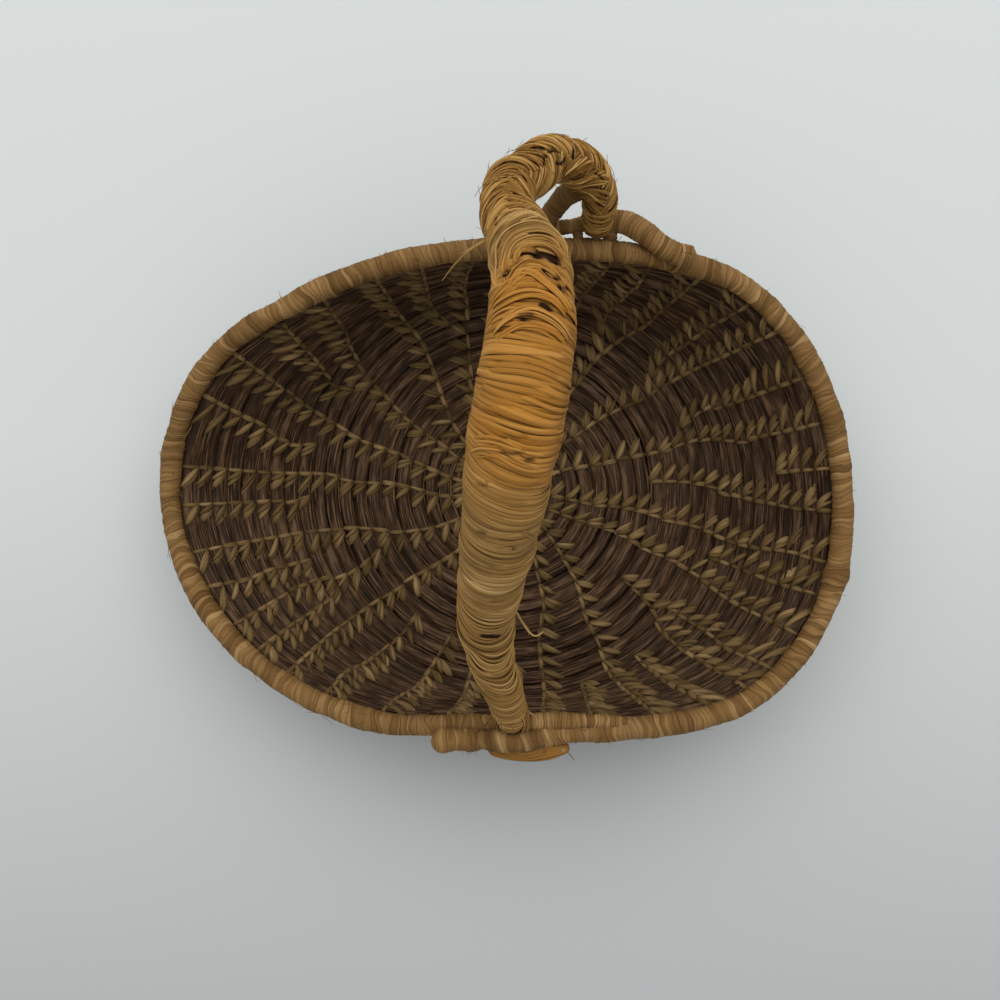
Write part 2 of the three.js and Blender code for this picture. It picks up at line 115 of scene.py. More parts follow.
# Fern stitch spokes, each from its first stitch outwards: (radius in the photograph's pixels, degrees)
SPOKES = [
    [(265, 3.6), (290, 3.7), (318, 3.7)],
    [(138, 3.6), (170, 3.0), (201, 1.4), (212, 359.6), (244, 357.6), (284, 356.2), (330, 356)],
    [(40, 23), (56, 21.6), (74, 19.2), (95, 16.4), (122, 16), (154, 14.4), (186, 15.2), (217, 14),
     (233, 12), (330, 12)],
    [(192, 20), (205, 23), (230, 21.5), (270, 21.2), (320, 21)],
    [(40, 45), (63, 42.4), (85, 40.8), (119, 39.2), (159, 35.2), (191, 34.4), (231, 33.2), (265, 32),
     (310, 30.8)],
    [(190, 38.5), (201, 41), (231, 40), (257, 39.6), (300, 38.2)],
    [(40, 66), (80, 62), (122, 59.2), (159, 57.6), (183, 55.2), (212, 51.2), (244, 50), (285, 48.6)],
    [(172, 57), (185, 60), (201, 61.6), (239, 58.8), (275, 58.4)],
    [(150, 74), (190, 71), (222, 69), (262, 66.5)],
    [(40, 88), (90, 84), (150, 81), (200, 79), (255, 77)],
    [(165, 94), (200, 92), (250, 91)],
    [(40, 112), (108, 112.8), (130, 109.6), (164, 106.4), (191, 104), (222, 102), (250, 100)],
    [(186, 111), (199, 113.6), (233, 112.8), (245, 112.6)],
    [(40, 138), (87, 133), (111, 128.8), (138, 124.8), (164, 122), (185, 121.6), (207, 122.6), (250, 123.2)],
    [(40, 152), (66, 149.6), (82, 148), (106, 147.2), (132, 146.4), (154, 144), (186, 142.8), (207, 140),
     (231, 136.8), (270, 135)],
    [(199, 147.6), (207, 149.6), (231, 147.2), (257, 145.6), (300, 144.2)],
    [(40, 172), (66, 168.8), (85, 166.4), (111, 163.2), (132, 162.4), (164, 162), (186, 160), (217, 158.4),
     (244, 156.8), (270, 155.6), (315, 154)],
    [(212, 166.6), (217, 168), (239, 168), (257, 166), (284, 164.8), (330, 163)],
    [(40, 189), (64, 186.4), (82, 184), (98, 180), (125, 177.2), (164, 177.2), (186, 175.2), (217, 175.6),
     (244, 176), (340, 176)],
    [(203, 181), (215, 182.8), (257, 182.8), (340, 182.8)],
    [(40, 212), (64, 208.8), (82, 207.2), (98, 204.8), (122, 201.6), (140, 197.6), (159, 194.4),
     (186, 192.8), (217, 191.6), (284, 191.2), (340, 191.2)],
    [(217, 199.2), (257, 198.4), (284, 198.8), (330, 197.6)],
    [(140, 201), (154, 204.8), (178, 206.8), (191, 207.2), (212, 205.2), (239, 204.4), (270, 205.2),
     (320, 206)],
    [(200, 208.6), (212, 210.4), (236, 211.2), (262, 211.6), (310, 212.4)],
    [(40, 236), (90, 228), (111, 224.8), (135, 221.6), (151, 221.2), (178, 219.6), (204, 218.8),
     (231, 218.4), (300, 219.2)],
    [(159, 232.4), (186, 232.8), (207, 231.2), (228, 230), (249, 227.6), (285, 227.6)],
    [(164, 247.2), (196, 245.6), (223, 244), (244, 240.8), (270, 239)],
    [(40, 262), (110, 259), (170, 257.5), (191, 257.2), (217, 256.4), (250, 253.6)],
    [(176, 268), (210, 267), (245, 266.5)],
    [(40, 292), (85, 288), (95, 286.8), (119, 286), (138, 283.2), (151, 280.8), (175, 279.6), (201, 279.2),
     (223, 277.6), (245, 278)],
    [(209, 289.6), (236, 288.8), (250, 288.6)],
    [(40, 312), (69, 308.8), (90, 306.8), (111, 305.6), (130, 303.2), (148, 300.4), (178, 299.6),
     (204, 297.6), (231, 298.8), (265, 301.6)],
    [(212, 306.4), (236, 307.6), (249, 308), (284, 311.2)],
    [(140, 321.6), (164, 320.8), (186, 320), (204, 316.8), (231, 316.4), (265, 317.6), (305, 319.2)],
    [(193, 320.6), (199, 322.4), (217, 323.2), (244, 323.6), (270, 323.2), (310, 324.8)],
    [(40, 332), (53, 332.8), (71, 334.4), (98, 337.2), (125, 337.6), (148, 336), (178, 336.4), (207, 335.2),
     (231, 333.6), (257, 332.8), (320, 332.8)],
    [(215, 341.2), (244, 340.8), (284, 340.4), (330, 340.8)],
    [(40, 352), (64, 350.4), (85, 349.6), (111, 350.8), (138, 350.8), (159, 349.2), (191, 348.8),
     (223, 346.8), (252, 346.4), (284, 347.2), (330, 346.8)],
]


def linear(hex_colour):
    """An sRGB hex value as the linear colour that a shader takes."""
    parts = [int(hex_colour[i:i + 2], 16) / 255 for i in (1, 3, 5)]
    return tuple(c / 12.92 if c <= 0.04045 else ((c + 0.055) / 1.055) ** 2.4 for c in parts) + (1,)


def smooth(t):
    """0 below 0, 1 above 1, and an even S between."""
    t = np.clip(t, 0, 1)
    return t * t * (3 - 2 * t)


def bell(place, middle, width):
    """A bell curve, 1 at its middle: e to the minus square of the distance over the width."""
    return np.exp(-((place - middle) / width) ** 2)


def unit(v):
    """Each vector of the array at length 1."""
    return v / np.linalg.norm(v, axis=-1, keepdims=True)


def wander(along, angle, seed, length, height, turns=2):
    """A soft random field: six sines with lengths about `length` along, and whole waves round the angle."""
    rng = np.random.default_rng(seed)
    total = 0
    for _ in range(6):
        pace = TURN / (length * rng.uniform(0.6, 1.8))
        total = total + np.sin(along * pace + angle * rng.integers(-turns, turns + 1) + rng.uniform(0, TURN))
    return total * height / 2.4


def to_pixels(points):
    """Where the camera sees points, in the photograph's pixels: offset times focal length over depth."""
    scale = FOCAL_PIXELS / (CAMERA_AT[2] - points[..., 2])
    return np.stack([PHOTO_PIXELS / 2 + (points[..., 0] - CAMERA_AT[0]) * scale,
                     PHOTO_PIXELS / 2 - (points[..., 1] - CAMERA_AT[1]) * scale], -1)


def seen_at(pixels, heights):
    """The points at those heights that the camera sees at the photograph's pixels."""
    pixels, heights = np.asarray(pixels, float), np.asarray(heights, float)
    scale = (CAMERA_AT[2] - heights) / FOCAL_PIXELS
    return np.stack([CAMERA_AT[0] + (pixels[..., 0] - PHOTO_PIXELS / 2) * scale,
                     CAMERA_AT[1] - (pixels[..., 1] - PHOTO_PIXELS / 2) * scale, heights], -1)


# Bowl: every row is as thick as the next, so the side stands steeper and taller where the rim is narrower

TABLE_ANGLES = 720
TABLE_STEP = 0.25
TABLE_ROWS = np.arange(0, 175, TABLE_STEP)


def rounds_at(angle):
    """How many rounds, from 0 to 1, the coil has run clockwise since its start angle."""
    return ((START_ANGLE - angle) / TURN) % 1


def rim_row(rounds):
    """The distance along the rows at which the rim lies after so many rounds."""
    return LAST_ROW - COIL_PITCH * (1 - rounds) + RIM_STEP


def rim_radius(angle):
    """A closed Catmull-Rom curve through the rim's radii."""
    place = (angle / TURN % 1) * len(RIM_RADII)
    i = np.floor(place).astype(int)
    t = place - i
    a, b, c, d = [RIM_RADII[(i + k) % len(RIM_RADII)] for k in (-1, 0, 1, 2)]
    return b + 0.5 * t * (c - a + t * (2 * a - 5 * b + 4 * c - d + t * (3 * (b - c) + d - a)))


def bowl_tables():
    """Radius, height and lean of the rows' middle surface: the lean grows to its full slope over the bend."""
    angles = np.arange(TABLE_ANGLES) / TABLE_ANGLES * TURN
    goal_row = rim_row(rounds_at(angles))
    goal_radius = rim_radius(angles)
    bend = smooth((TABLE_ROWS - BEND_START) / BEND_WIDTH)
    low, high = np.zeros(TABLE_ANGLES), np.full(TABLE_ANGLES, math.radians(110))
    place = np.clip(np.rint(goal_row / TABLE_STEP).astype(int), 0, len(TABLE_ROWS) - 1)
    for _ in range(24):
        middle = (low + high) / 2
        radius = np.cumsum(np.cos(middle[:, None] * bend), 1)[np.arange(TABLE_ANGLES), place] * TABLE_STEP
        low, high = np.where(radius > goal_radius, middle, low), np.where(radius > goal_radius, high, middle)
    slopes = (low + high) / 2
    kernel = np.hanning(25)
    wrapped = np.concatenate([slopes[-12:], slopes, slopes[:12]])
    slopes = np.convolve(wrapped, kernel / kernel.sum(), "valid")
    lean = slopes[:, None] * bend
    radius = np.cumsum(np.cos(lean), 1) * TABLE_STEP
    height = COIL_RADIUS + np.cumsum(np.sin(lean), 1) * TABLE_STEP
    return radius, height, lean


BOWL = bowl_tables()


def bowl(angle, row):
    """Radius, height and lean at an angle and a distance along the rows, read off between entries."""
    across = (angle / TURN % 1) * TABLE_ANGLES
    left = np.floor(across).astype(int) % TABLE_ANGLES
    right = (left + 1) % TABLE_ANGLES
    over = across - np.floor(across)
    outward = np.clip(row / TABLE_STEP, 0, len(TABLE_ROWS) - 2.001)
    inner = np.floor(outward).astype(int)
    past = outward - inner
    return [t[left, inner] * (1 - over) * (1 - past) + t[right, inner] * over * (1 - past)
            + t[left, inner + 1] * (1 - over) * past + t[right, inner + 1] * over * past for t in BOWL]


def off_bowl(angle, row, beside, lift):
    """A point beside the row, outwards along the profile, and lifted off it to the inside."""
    r, z, lean = bowl(angle, row)
    r = r + beside * np.cos(lean) - lift * np.sin(lean)
    z = z + beside * np.sin(lean) + lift * np.cos(lean)
    return np.stack([r * np.cos(angle), r * np.sin(angle), z], -1)


def rim_middle(rounds):
    """The rim's centre line: it follows the last row, then laps over its own start at the front."""
    angle = START_ANGLE - TURN * rounds
    plain = off_bowl(angle, rim_row(np.minimum(rounds, 1)), 0, 0)
    inner = off_bowl(angle, rim_row(rounds - 1), 0, 0)
    reach = 2 * RIM_RADIUS + 1
    out = np.stack([np.cos(angle) * math.cos(LAP_LIFT), np.sin(angle) * math.cos(LAP_LIFT),
                    np.full_like(angle, math.sin(LAP_LIFT))], -1)
    share = smooth((rounds - LAP_START) / (LAP_SETTLED - LAP_START))[..., None]
    return plain * (1 - share) + (inner + out * reach) * share


def near_rim(degrees, out, up):
    """A place so far outwards and upwards from the rim's middle."""
    angle = np.radians(np.asarray(degrees, float))
    middle = off_bowl(angle, rim_row(rounds_at(angle)), 0, 0)
    return middle + np.stack([out * np.cos(angle), out * np.sin(angle), up + 0 * angle], -1)


def rim_route(stops):
    """A route in x, y, z and width from stops that are placed from the rim."""
    degrees, out, up, width = np.array(stops, float).T
    return np.column_stack([near_rim(degrees, out, up), width])


# Paths and tubes

def lengths_along(points):
    """How far along a path each of its points lies."""
    return np.concatenate([[0], np.cumsum(np.linalg.norm(np.diff(points, axis=0), axis=1))])


def read_off(place, along, *parts):
    """Each array of vectors along a path, read off between its points at the given places."""
    return [np.stack([np.interp(place, along, part[:, k]) for k in range(3)], -1) for part in parts]


def curve_through(route, count):
    """Points at even distances along a centripetal Catmull-Rom curve, with their widths and distances."""
    points = route[:, :3]
    points = np.vstack([2 * points[0] - points[1], points, 2 * points[-1] - points[-2]])
    fine, widths = [], []
    t = np.linspace(0, 1, 60, endpoint=False)[:, None]
    for i in range(1, len(points) - 2):
        p = points[i - 1:i + 3]
        d = np.sqrt(np.linalg.norm(np.diff(p, axis=0), axis=1))
        near = (p[1] - p[0]) / d[0] - (p[2] - p[0]) / (d[0] + d[1]) + (p[2] - p[1]) / d[1]
        far = (p[2] - p[1]) / d[1] - (p[3] - p[1]) / (d[1] + d[2]) + (p[3] - p[2]) / d[2]
        near, far = near * d[1], far * d[1]
        fine.append((2 * t ** 3 - 3 * t ** 2 + 1) * p[1] + (t ** 3 - 2 * t ** 2 + t) * near
                    + (3 * t ** 2 - 2 * t ** 3) * p[2] + (t ** 3 - t ** 2) * far)
        widths.append(route[i - 1, 3] + (route[i, 3] - route[i - 1, 3]) * t[:, 0])
    fine = np.vstack(fine + [points[-2:-1]])
    widths = np.concatenate(widths + [route[-1:, 3]])
    along = lengths_along(fine)
    even = np.linspace(0, along[-1], count)
    return read_off(even, along, fine)[0], np.interp(even, along, widths), even


def frames_along(points):
    """Directions across and up at each point of a path, carried along it so that they don't twist."""
    ahead = unit(np.gradient(points, axis=0))
    across = np.empty_like(points)
    side = np.cross([0, 0, 1], ahead[0])
    for i, direction in enumerate(ahead):
        side = side - direction * side.dot(direction)
        side = side / np.linalg.norm(side)
        across[i] = side
    return across, np.cross(ahead, across)


def tube_path(points, widths):
    """A tube's middle line: how far along its points lie, half its widths, the points, and at each of them
    the direction that faces the camera and the one to its right."""
    across, up = frames_along(points)
    toward = unit(np.array(CAMERA_AT) - points)
    facing = np.unwrap(np.arctan2((toward * up).sum(-1), (toward * across).sum(-1)))[:, None]
    front = across * np.cos(facing) + up * np.sin(facing)
    right = up * np.cos(facing) - across * np.sin(facing)
    return lengths_along(points), widths / 2, points, front, right


def off_path(path, place, angle):
    """A tube's middle at places along it, the direction straight off it at angles, and its radius there. The
    direction is the cosine's share of the front and the sine's share of the right."""
    lengths, radii, *vectors = path
    middle, front, right = read_off(place, lengths, *vectors)
    off = front * np.cos(angle)[..., None] + right * np.sin(angle)[..., None]
    return middle, off, np.interp(place, lengths, radii)


def tube_mesh(name, rings, uv, **fields):
    """One mesh of closed tubes: rings is tubes x rings x points x 3, and uv is the same with one more point.
    Each ring is joined to the next by quads, and nothing lies below the table."""
    tubes, count, around = rings.shape[:3]
    points = rings.reshape(-1, 3).copy()
    points[:, 2] = np.maximum(points[:, 2], 0)
    index = np.arange(tubes * count * around).reshape(tubes, count, around)
    beside = np.roll(index, -1, 2)
    quads = np.stack([index[:, :-1], beside[:, :-1], beside[:, 1:], index[:, 1:]], -1).reshape(-1, 4)
    quad_uv = np.stack([uv[:, :-1, :-1], uv[:, :-1, 1:], uv[:, 1:, 1:], uv[:, 1:, :-1]], -2).reshape(-1, 2)
    ends = np.concatenate([index[:, 0, ::-1], index[:, -1]])
    end_uv = np.concatenate([uv[:, 0, -2::-1], uv[:, -1, :-1]]).reshape(-1, 2)
    corners = np.concatenate([quads.ravel(), ends.ravel()])
    starts = np.concatenate([np.arange(len(quads)) * 4, len(quads) * 4 + np.arange(len(ends)) * around])
    mesh = bpy.data.meshes.new(name)
    mesh.vertices.add(index.size)
    mesh.vertices.foreach_set("co", (points * MM).ravel())
    mesh.loops.add(len(corners))
    mesh.loops.foreach_set("vertex_index", corners)
    mesh.polygons.add(len(starts))
    mesh.polygons.foreach_set("loop_start", starts)
    mesh.update(calc_edges=True)
    mesh.polygons.foreach_set("use_smooth", np.ones(len(starts), bool))
    layer = mesh.uv_layers.new(name="UVMap")
    layer.data.foreach_set("uv", np.concatenate([quad_uv, end_uv]).ravel())
    for key, values in fields.items():
        attribute = mesh.attributes.new(key, "FLOAT", "POINT")
        attribute.data.foreach_set("value", np.broadcast_to(values, index.shape).astype(np.float32).ravel())
    return mesh


def placed(name, data, location=(0, 0, 0)):
    """A scene object for a mesh, a light or a camera."""
    made = bpy.data.objects.new(name, data)
    made.location = location
    bpy.context.scene.collection.objects.link(made)
    return made


def piece(name, rings, uv, material, slot, *nodes, **fields):
    """A piece of the basket, made of tubes: it rides on the one body and stands for its CAD nodes."""
    mesh = tube_mesh(name, rings, uv, **fields)
    mesh.materials.append(material)
    made = placed(name, mesh)
    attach(made, "root")
    if nodes:
        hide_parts(*nodes)


# Materials: a pattern's x runs along the fibre and its y across it, both in millimetres on the UV map

def node(tree, kind, inputs=None, stops=(), **settings):
    """Adds a shader node with its settings, a value or a link for each named socket, and its colour stops."""
    made = tree.nodes.new(kind)
    for key, value in settings.items():
        setattr(made, key, value)
    for socket, value in (inputs or {}).items():
        if isinstance(value, bpy.types.NodeSocket):
            tree.links.new(value, made.inputs[socket])
        else:
            made.inputs[socket].default_value = value
    for _ in stops[2:]:
        made.color_ramp.elements.new(0.5)
    for i, (place, colour) in enumerate(stops):
        made.color_ramp.elements[i].position = place
        made.color_ramp.elements[i].color = linear(colour)
    return made


def streaks(tree, along, across, detail, seed):
    """Noise drawn out along the fibre: along and across are the sizes of its marks in millimetres."""
    place = node(tree, "ShaderNodeUVMap", uv_map="UVMap").outputs["UV"]
    scaled = node(tree, "ShaderNodeMapping", {"Vector": place, "Scale": (1 / along, 1 / across, 1),
                                              "Location": (seed * 3.7, seed * 1.3, 0)}).outputs["Vector"]
    noise = {"Vector": scaled, "Scale": 1.0, "Detail": detail, "Roughness": 0.6}
    return node(tree, "ShaderNodeTexNoise", noise, noise_dimensions="2D").outputs["Fac"]


def weighted(tree, *terms, start=0.0):
    """A start number plus each value times its weight. A value is a link, or names a number on the mesh."""
    for value, weight in terms:
        if isinstance(value, str):
            value = node(tree, "ShaderNodeAttribute", attribute_name=value).outputs["Fac"]
        total = node(tree, "ShaderNodeMath", {0: value, 1: weight, 2: start}, operation="MULTIPLY_ADD")
        start = total.outputs["Value"]
    return start


def layered(tree, colour, *layers):
    """A colour with others laid over it, each by its share from 0 to 1."""
    for over, share in layers:
        colour = node(tree, "ShaderNodeMix", {0: share, 6: colour, 7: over}, data_type="RGBA").outputs[2]
    return colour


def new_material(name):
    """An empty node material with its shader and output joined."""
    made = bpy.data.materials.new(name)
    made.use_nodes = True
    tree = made.node_tree
    tree.nodes.clear()
    shader = node(tree, "ShaderNodeBsdfPrincipled")
    node(tree, "ShaderNodeOutputMaterial", {"Surface": shader.outputs["BSDF"]})
    return made, tree, shader


def join(tree, shader, colour, roughness, height, distance):
    """Gives a shader its colour, roughness, a bump of so many millimetres and a dull warm gloss."""
    bump = node(tree, "ShaderNodeBump", {"Height": height, "Strength": 1.0, "Distance": distance * MM})
    tree.links.new(colour, shader.inputs["Base Color"])
    tree.links.new(roughness, shader.inputs["Roughness"])
    tree.links.new(bump.outputs["Normal"], shader.inputs["Normal"])
    shader.inputs["Specular IOR Level"].default_value = 0.3
    shader.inputs["Specular Tint"].default_value = linear("#FFE6C4")


def pine_needle():
    """Dried long pine needles: dark brown to grey brown, each needle its own tone, with a dull waxy sheen,
    and painted shade between the needles and between the rows.
    """
    made, tree, shader = new_material("pine_needle_dried")
    needle = streaks(tree, along=26, across=0.55, detail=2, seed=1)
    patch = streaks(tree, along=13, across=4, detail=2, seed=2)
    faded = streaks(tree, along=45, across=4, detail=1, seed=5)
    value = weighted(tree, (needle, 0.35), (patch, 0.65), ("tone", 0.12))
    brown = node(tree, "ShaderNodeValToRGB", {"Fac": value},
                 stops=[(0.38, "#0E0703"), (0.48, "#28170D"), (0.57, "#422B1B"), (0.7, "#6A5039")])
    grey = linear("#483D32"), weighted(tree, (faded, 1.3), start=-0.585)
    # Painted shade: the grooves between needles and between rows are darkened towards near black.
    painted_dark = linear("#0F0905"), weighted(tree, ("depth", 0.85))
    colour = layered(tree, brown.outputs["Color"], grey, painted_dark)
    join(tree, shader, colour, weighted(tree, (needle, -0.25), start=0.68), needle, distance=0.35)
    return made


def raffia(name, stops, painted_shade_colour, golden_stops=None, shade=0.85):
    """Raffia palm strips: matt, with fine fibres, each strip in its own tone, and painted shade between the
    turns.
    """
    made, tree, shader = new_material(name)
    fine = streaks(tree, along=14, across=0.3, detail=3, seed=3)
    broad = streaks(tree, along=30, across=1.6, detail=1, seed=4)
    value = weighted(tree, (fine, 0.55), (broad, 0.3), ("tone", 0.3))
    colour = node(tree, "ShaderNodeValToRGB", {"Fac": value}, stops=stops).outputs["Color"]
    if golden_stops:
        golden = node(tree, "ShaderNodeValToRGB", {"Fac": value}, stops=golden_stops).outputs["Color"]
        colour = layered(tree, colour, (golden, weighted(tree, ("gold", 1))))
    # Painted shade: the colour is mixed towards a dark brown between the turns, in the slots and in shaded
    # places.
    sunk = weighted(tree, ("depth", shade))
    colour = layered(tree, colour, (linear(painted_shade_colour), sunk))
    join(tree, shader, colour, weighted(tree, (broad, -0.2), (sunk, 0.3), start=0.8), fine, distance=0.25)
    return made


NEEDLES = pine_needle()
STITCH_RAFFIA = raffia(
    "raffia_stitching", [(0.3, "#3C2B17"), (0.5, "#624E2C"), (0.65, "#7C6340"), (0.85, "#9B8056")],
    painted_shade_colour="#22180B")
RIM_RAFFIA = raffia(
    "raffia_rim_binding", [(0.33, "#5A4120"), (0.5, "#7A5931"), (0.66, "#947244"), (0.84, "#B79566")],
    painted_shade_colour="#3A250F", shade=0.3)
HANDLE_RAFFIA = raffia(
    "raffia_handle_binding", [(0.3, "#62461F"), (0.5, "#886532"), (0.65, "#A58047"), (0.82, "#C8A36A")],
    painted_shade_colour="#25130A", golden_stops=[(0.3, "#865113"), (0.5, "#AA7329"), (0.65, "#BA8137"), (0.85, "#C4934E")])
HOOK_RAFFIA = raffia(
    "raffia_handle_weathered", [(0.3, "#45290A"), (0.5, "#805924"), (0.65, "#AA7E3E"), (0.85, "#D2AC6C")],
    painted_shade_colour="#241407", golden_stops=[(0.3, "#6A4418"), (0.5, "#98672A"), (0.65, "#B07E3A"), (0.85, "#C89854")])


# Needle coil: a half circle over each needle, and each needle proud or sunk by its own wave

BUNDLE_SIDES = 60
NEEDLES_ROUND = 17
NEEDLE_CROWN = 0.34
PROUD_BY = 0.16
NEEDLES_SUNK = 0.2


def needle_ridges(along, angle, seed):
    """Needles side by side round the bundle, turning slowly: their lift in millimetres, tone, and painted
    shade, full in the groove between two needles.
    """
    phase = angle * NEEDLES_ROUND / TURN + wander(along, angle, seed, length=240, height=2.2, turns=1)
    place = phase - np.floor(phase)
    which = np.floor(phase).astype(int) % NEEDLES_ROUND
    rng = np.random.default_rng(seed)
    pace = rng.uniform(0.01, 0.03, NEEDLES_ROUND)[which]
    proud = np.sin(along * pace * TURN / 2 + rng.uniform(0, TURN, NEEDLES_ROUND)[which])
    crown = np.sqrt(np.clip(1 - (2 * place - 1) ** 2, 0, 1))
    return NEEDLE_CROWN * crown + PROUD_BY * proud * crown - NEEDLES_SUNK, 0.5 + 0.5 * proud, 1 - crown


def coil_along(row):
    """The spiral's length out to a row, from the area between the two rounds over the pitch."""
    return TURN * (row ** 2 - FIRST_ROW ** 2) / (2 * COIL_PITCH)


def coil_bundle(name, first, last, step, seed, node_name):
    """A needle bundle along the spiral between two loops. Its section is a circle with needle ridges."""
    start_row, end_row = FIRST_ROW + COIL_PITCH * first, FIRST_ROW + COIL_PITCH * last
    count = int((last - first) * TURN * (start_row + end_row) / 2 / step)
    row = np.sqrt(np.linspace(start_row ** 2, end_row ** 2, count))[:, None]
    angle = START_ANGLE - TURN * ((row - FIRST_ROW) / COIL_PITCH)
    along = coil_along(row)
    turn = np.arange(BUNDLE_SIDES)[None] / BUNDLE_SIDES * TURN
    lift, tone, depth = needle_ridges(along, turn, seed)
    thickness = BUNDLE_RADIUS + lift + wander(along, 0 * turn, seed + 1, length=90, height=0.1)
    sway = wander(along, 0 * turn, seed + 2, length=130, height=0.12)
    rings = off_bowl(angle, row, thickness * np.cos(turn) + sway, thickness * np.sin(turn))
    across = np.arange(BUNDLE_SIDES + 1)[None] / BUNDLE_SIDES * TURN * BUNDLE_RADIUS
    uv = np.stack(np.broadcast_arrays(along, across), -1)
    # Painted shade: darker in the grooves between needles and where the bundle meets the rows beside it.
    depth = np.clip(depth ** 3 + 0.75 * np.abs(np.cos(turn)) ** 5, 0, 1)
    piece(name, rings[None], uv[None], NEEDLES, "pine_needle", node_name, tone=tone, depth=depth)


coil_bundle("floor_needles", 0, FLOOR_LOOPS, step=4.0, seed=11, node_name="floor_coil")
coil_bundle("side_needles", FLOOR_LOOPS, COIL_LOOPS, step=4.2, seed=21, node_name="side_coil")


# Strands and single needles: each takes its own stretch of the fibre pattern

PATTERN_REACH = 400


def strands(name, paths, away, material, slot, *nodes, width, thick, sides, seed, spread=0.25, **fields):
    """Flat oval tubes along paths, each in its own tone. `away` points off the surface that they lie on, and
    width and thick are half sizes, along the oval's cosine and its sine."""
    rng = np.random.default_rng(seed)
    count, points = paths.shape[:2]
    width, thick = np.broadcast_to(width, (count, points)), np.broadcast_to(thick, (count, points))
    ahead = unit(np.gradient(paths, axis=1))
    away = unit(away - ahead * (away * ahead).sum(-1, keepdims=True))
    side = np.cross(away, ahead)
    corner = (np.arange(sides) + 0.5) / sides * TURN
    rings = (paths[:, :, None] + side[:, :, None] * (width[..., None] * np.cos(corner))[..., None]
             + away[:, :, None] * (thick[..., None] * np.sin(corner))[..., None])
    along = np.cumsum(np.linalg.norm(np.diff(paths, axis=1, prepend=paths[:, :1]), axis=-1), 1)[..., None]
    across = np.arange(sides + 1) / sides * TURN * width.mean() + rng.uniform(0, PATTERN_REACH, (count, 1, 1))
    uv = np.stack(np.broadcast_arrays(along + rng.uniform(0, PATTERN_REACH, (count, 1, 1)), across), -1)
    tone = np.clip(rng.normal(0.5, spread, (count, 1, 1)), 0, 1.2)
    piece(name, rings, uv, material, slot, *nodes, tone=tone, **fields)


def stray_needles(name, count, facing, seed):
    """Single needles a little proud of their bundle: strands along the rows, tapered at both ends."""
    rng = np.random.default_rng(seed)
    row = np.sqrt(rng.uniform(12 ** 2, (LAST_ROW - 1) ** 2, (count, 1)))
    t = np.linspace(0, 1, 10)[None]
    path = coil_along(row) + rng.uniform(25, 80, (count, 1)) * t
    rows = np.minimum(np.sqrt(path * 2 * COIL_PITCH / TURN + FIRST_ROW ** 2), LAST_ROW)
    angle = START_ANGLE - TURN * (rows - FIRST_ROW) / COIL_PITCH
    side = facing + rng.uniform(-1.15, 1.15, (count, 1)) + rng.normal(0, 0.25, (count, 1)) * (t - 0.5)
    lift = BUNDLE_RADIUS + 0.22 + rng.uniform(-0.15, 0.18, (count, 1)) - 0.5 * (2 * t - 1) ** 6
    middle = off_bowl(angle, rows, lift * np.cos(side), lift * np.sin(side))
    away = off_bowl(angle, rows, (lift + 1) * np.cos(side), (lift + 1) * np.sin(side)) - middle
    width = rng.uniform(0.34, 0.58, (count, 1)) * (1 - 0.6 * np.abs(2 * t - 1) ** 5)
    strands(name, middle, away, NEEDLES, "pine_needle", width=width, thick=0.7 * width, sides=4, seed=seed,
            spread=0.3, depth=0)


stray_needles("inside_stray_needles", count=1500, facing=TURN / 4, seed=31)
stray_needles("outside_stray_needles", count=800, facing=-TURN / 4, seed=41)


# Fern stitches

STITCH_POINTS = 8


def photo_radius(angle, row):
    """How far from the photograph's centre a place on the inside of the bowl shows, in its pixels."""
    offset = to_pixels(off_bowl(angle, row, 0, BUNDLE_RADIUS)) - PHOTO_CENTRE
    return np.hypot(offset[..., 0], offset[..., 1])


def spoke_rows(spoke):
    """Rows and angles of a spoke's stitches, one for each needle row that it crosses."""
    radii, degrees = np.array(spoke, float).T
    angles = np.unwrap(np.radians(degrees))
    rows = np.arange(FIRST_ROW, LAST_ROW + COIL_PITCH, 0.5)
    seen = photo_radius(np.interp(rows, radii / PIXELS_PER_MM, angles), rows)
    stops = np.interp(radii, seen, rows)
    loops = np.arange(0, COIL_LOOPS + 1)
    row = FIRST_ROW + COIL_PITCH * loops
    for _ in range(2):
        angle = np.interp(row, stops, angles)
        row = FIRST_ROW + COIL_PITCH * (loops + rounds_at(angle))
    inside = (row > stops[0] - COIL_PITCH / 2) & (row < LAST_ROW + 0.5 - COIL_PITCH * (1 - rounds_at(angle)))
    return row[inside], angle[inside]


def strap_paths(row, angle, reach, start, end, thick, facing):
    """Paths over one needle row each, from the gap before it to the gap after it, `reach` mm round the bowl.
    Their lift is the bundle's circle, a little flattened, plus about half the strand's thickness."""
    t = np.linspace(0, 1, STITCH_POINTS)[None]
    beside = (start + (end - start) * t) * COIL_PITCH
    off = np.clip(beside / (BUNDLE_RADIUS + 0.15), -1, 1)
    lift = facing * ((BUNDLE_RADIUS + 0.1) * np.sqrt(1 - 0.93 * off ** 2)
                     + 0.55 * thick * np.sqrt(1 - 0.6 * off ** 2))
    round_by = reach * t / bowl(angle, row)[0]
    shifted = row - COIL_PITCH * round_by / TURN
    middle = off_bowl(angle + round_by, shifted, beside, lift)
    away = off_bowl(angle + round_by, shifted, beside * 1.35, lift * 1.35) - middle
    return middle, away, np.sin(math.pi * (0.1 + 0.8 * t))


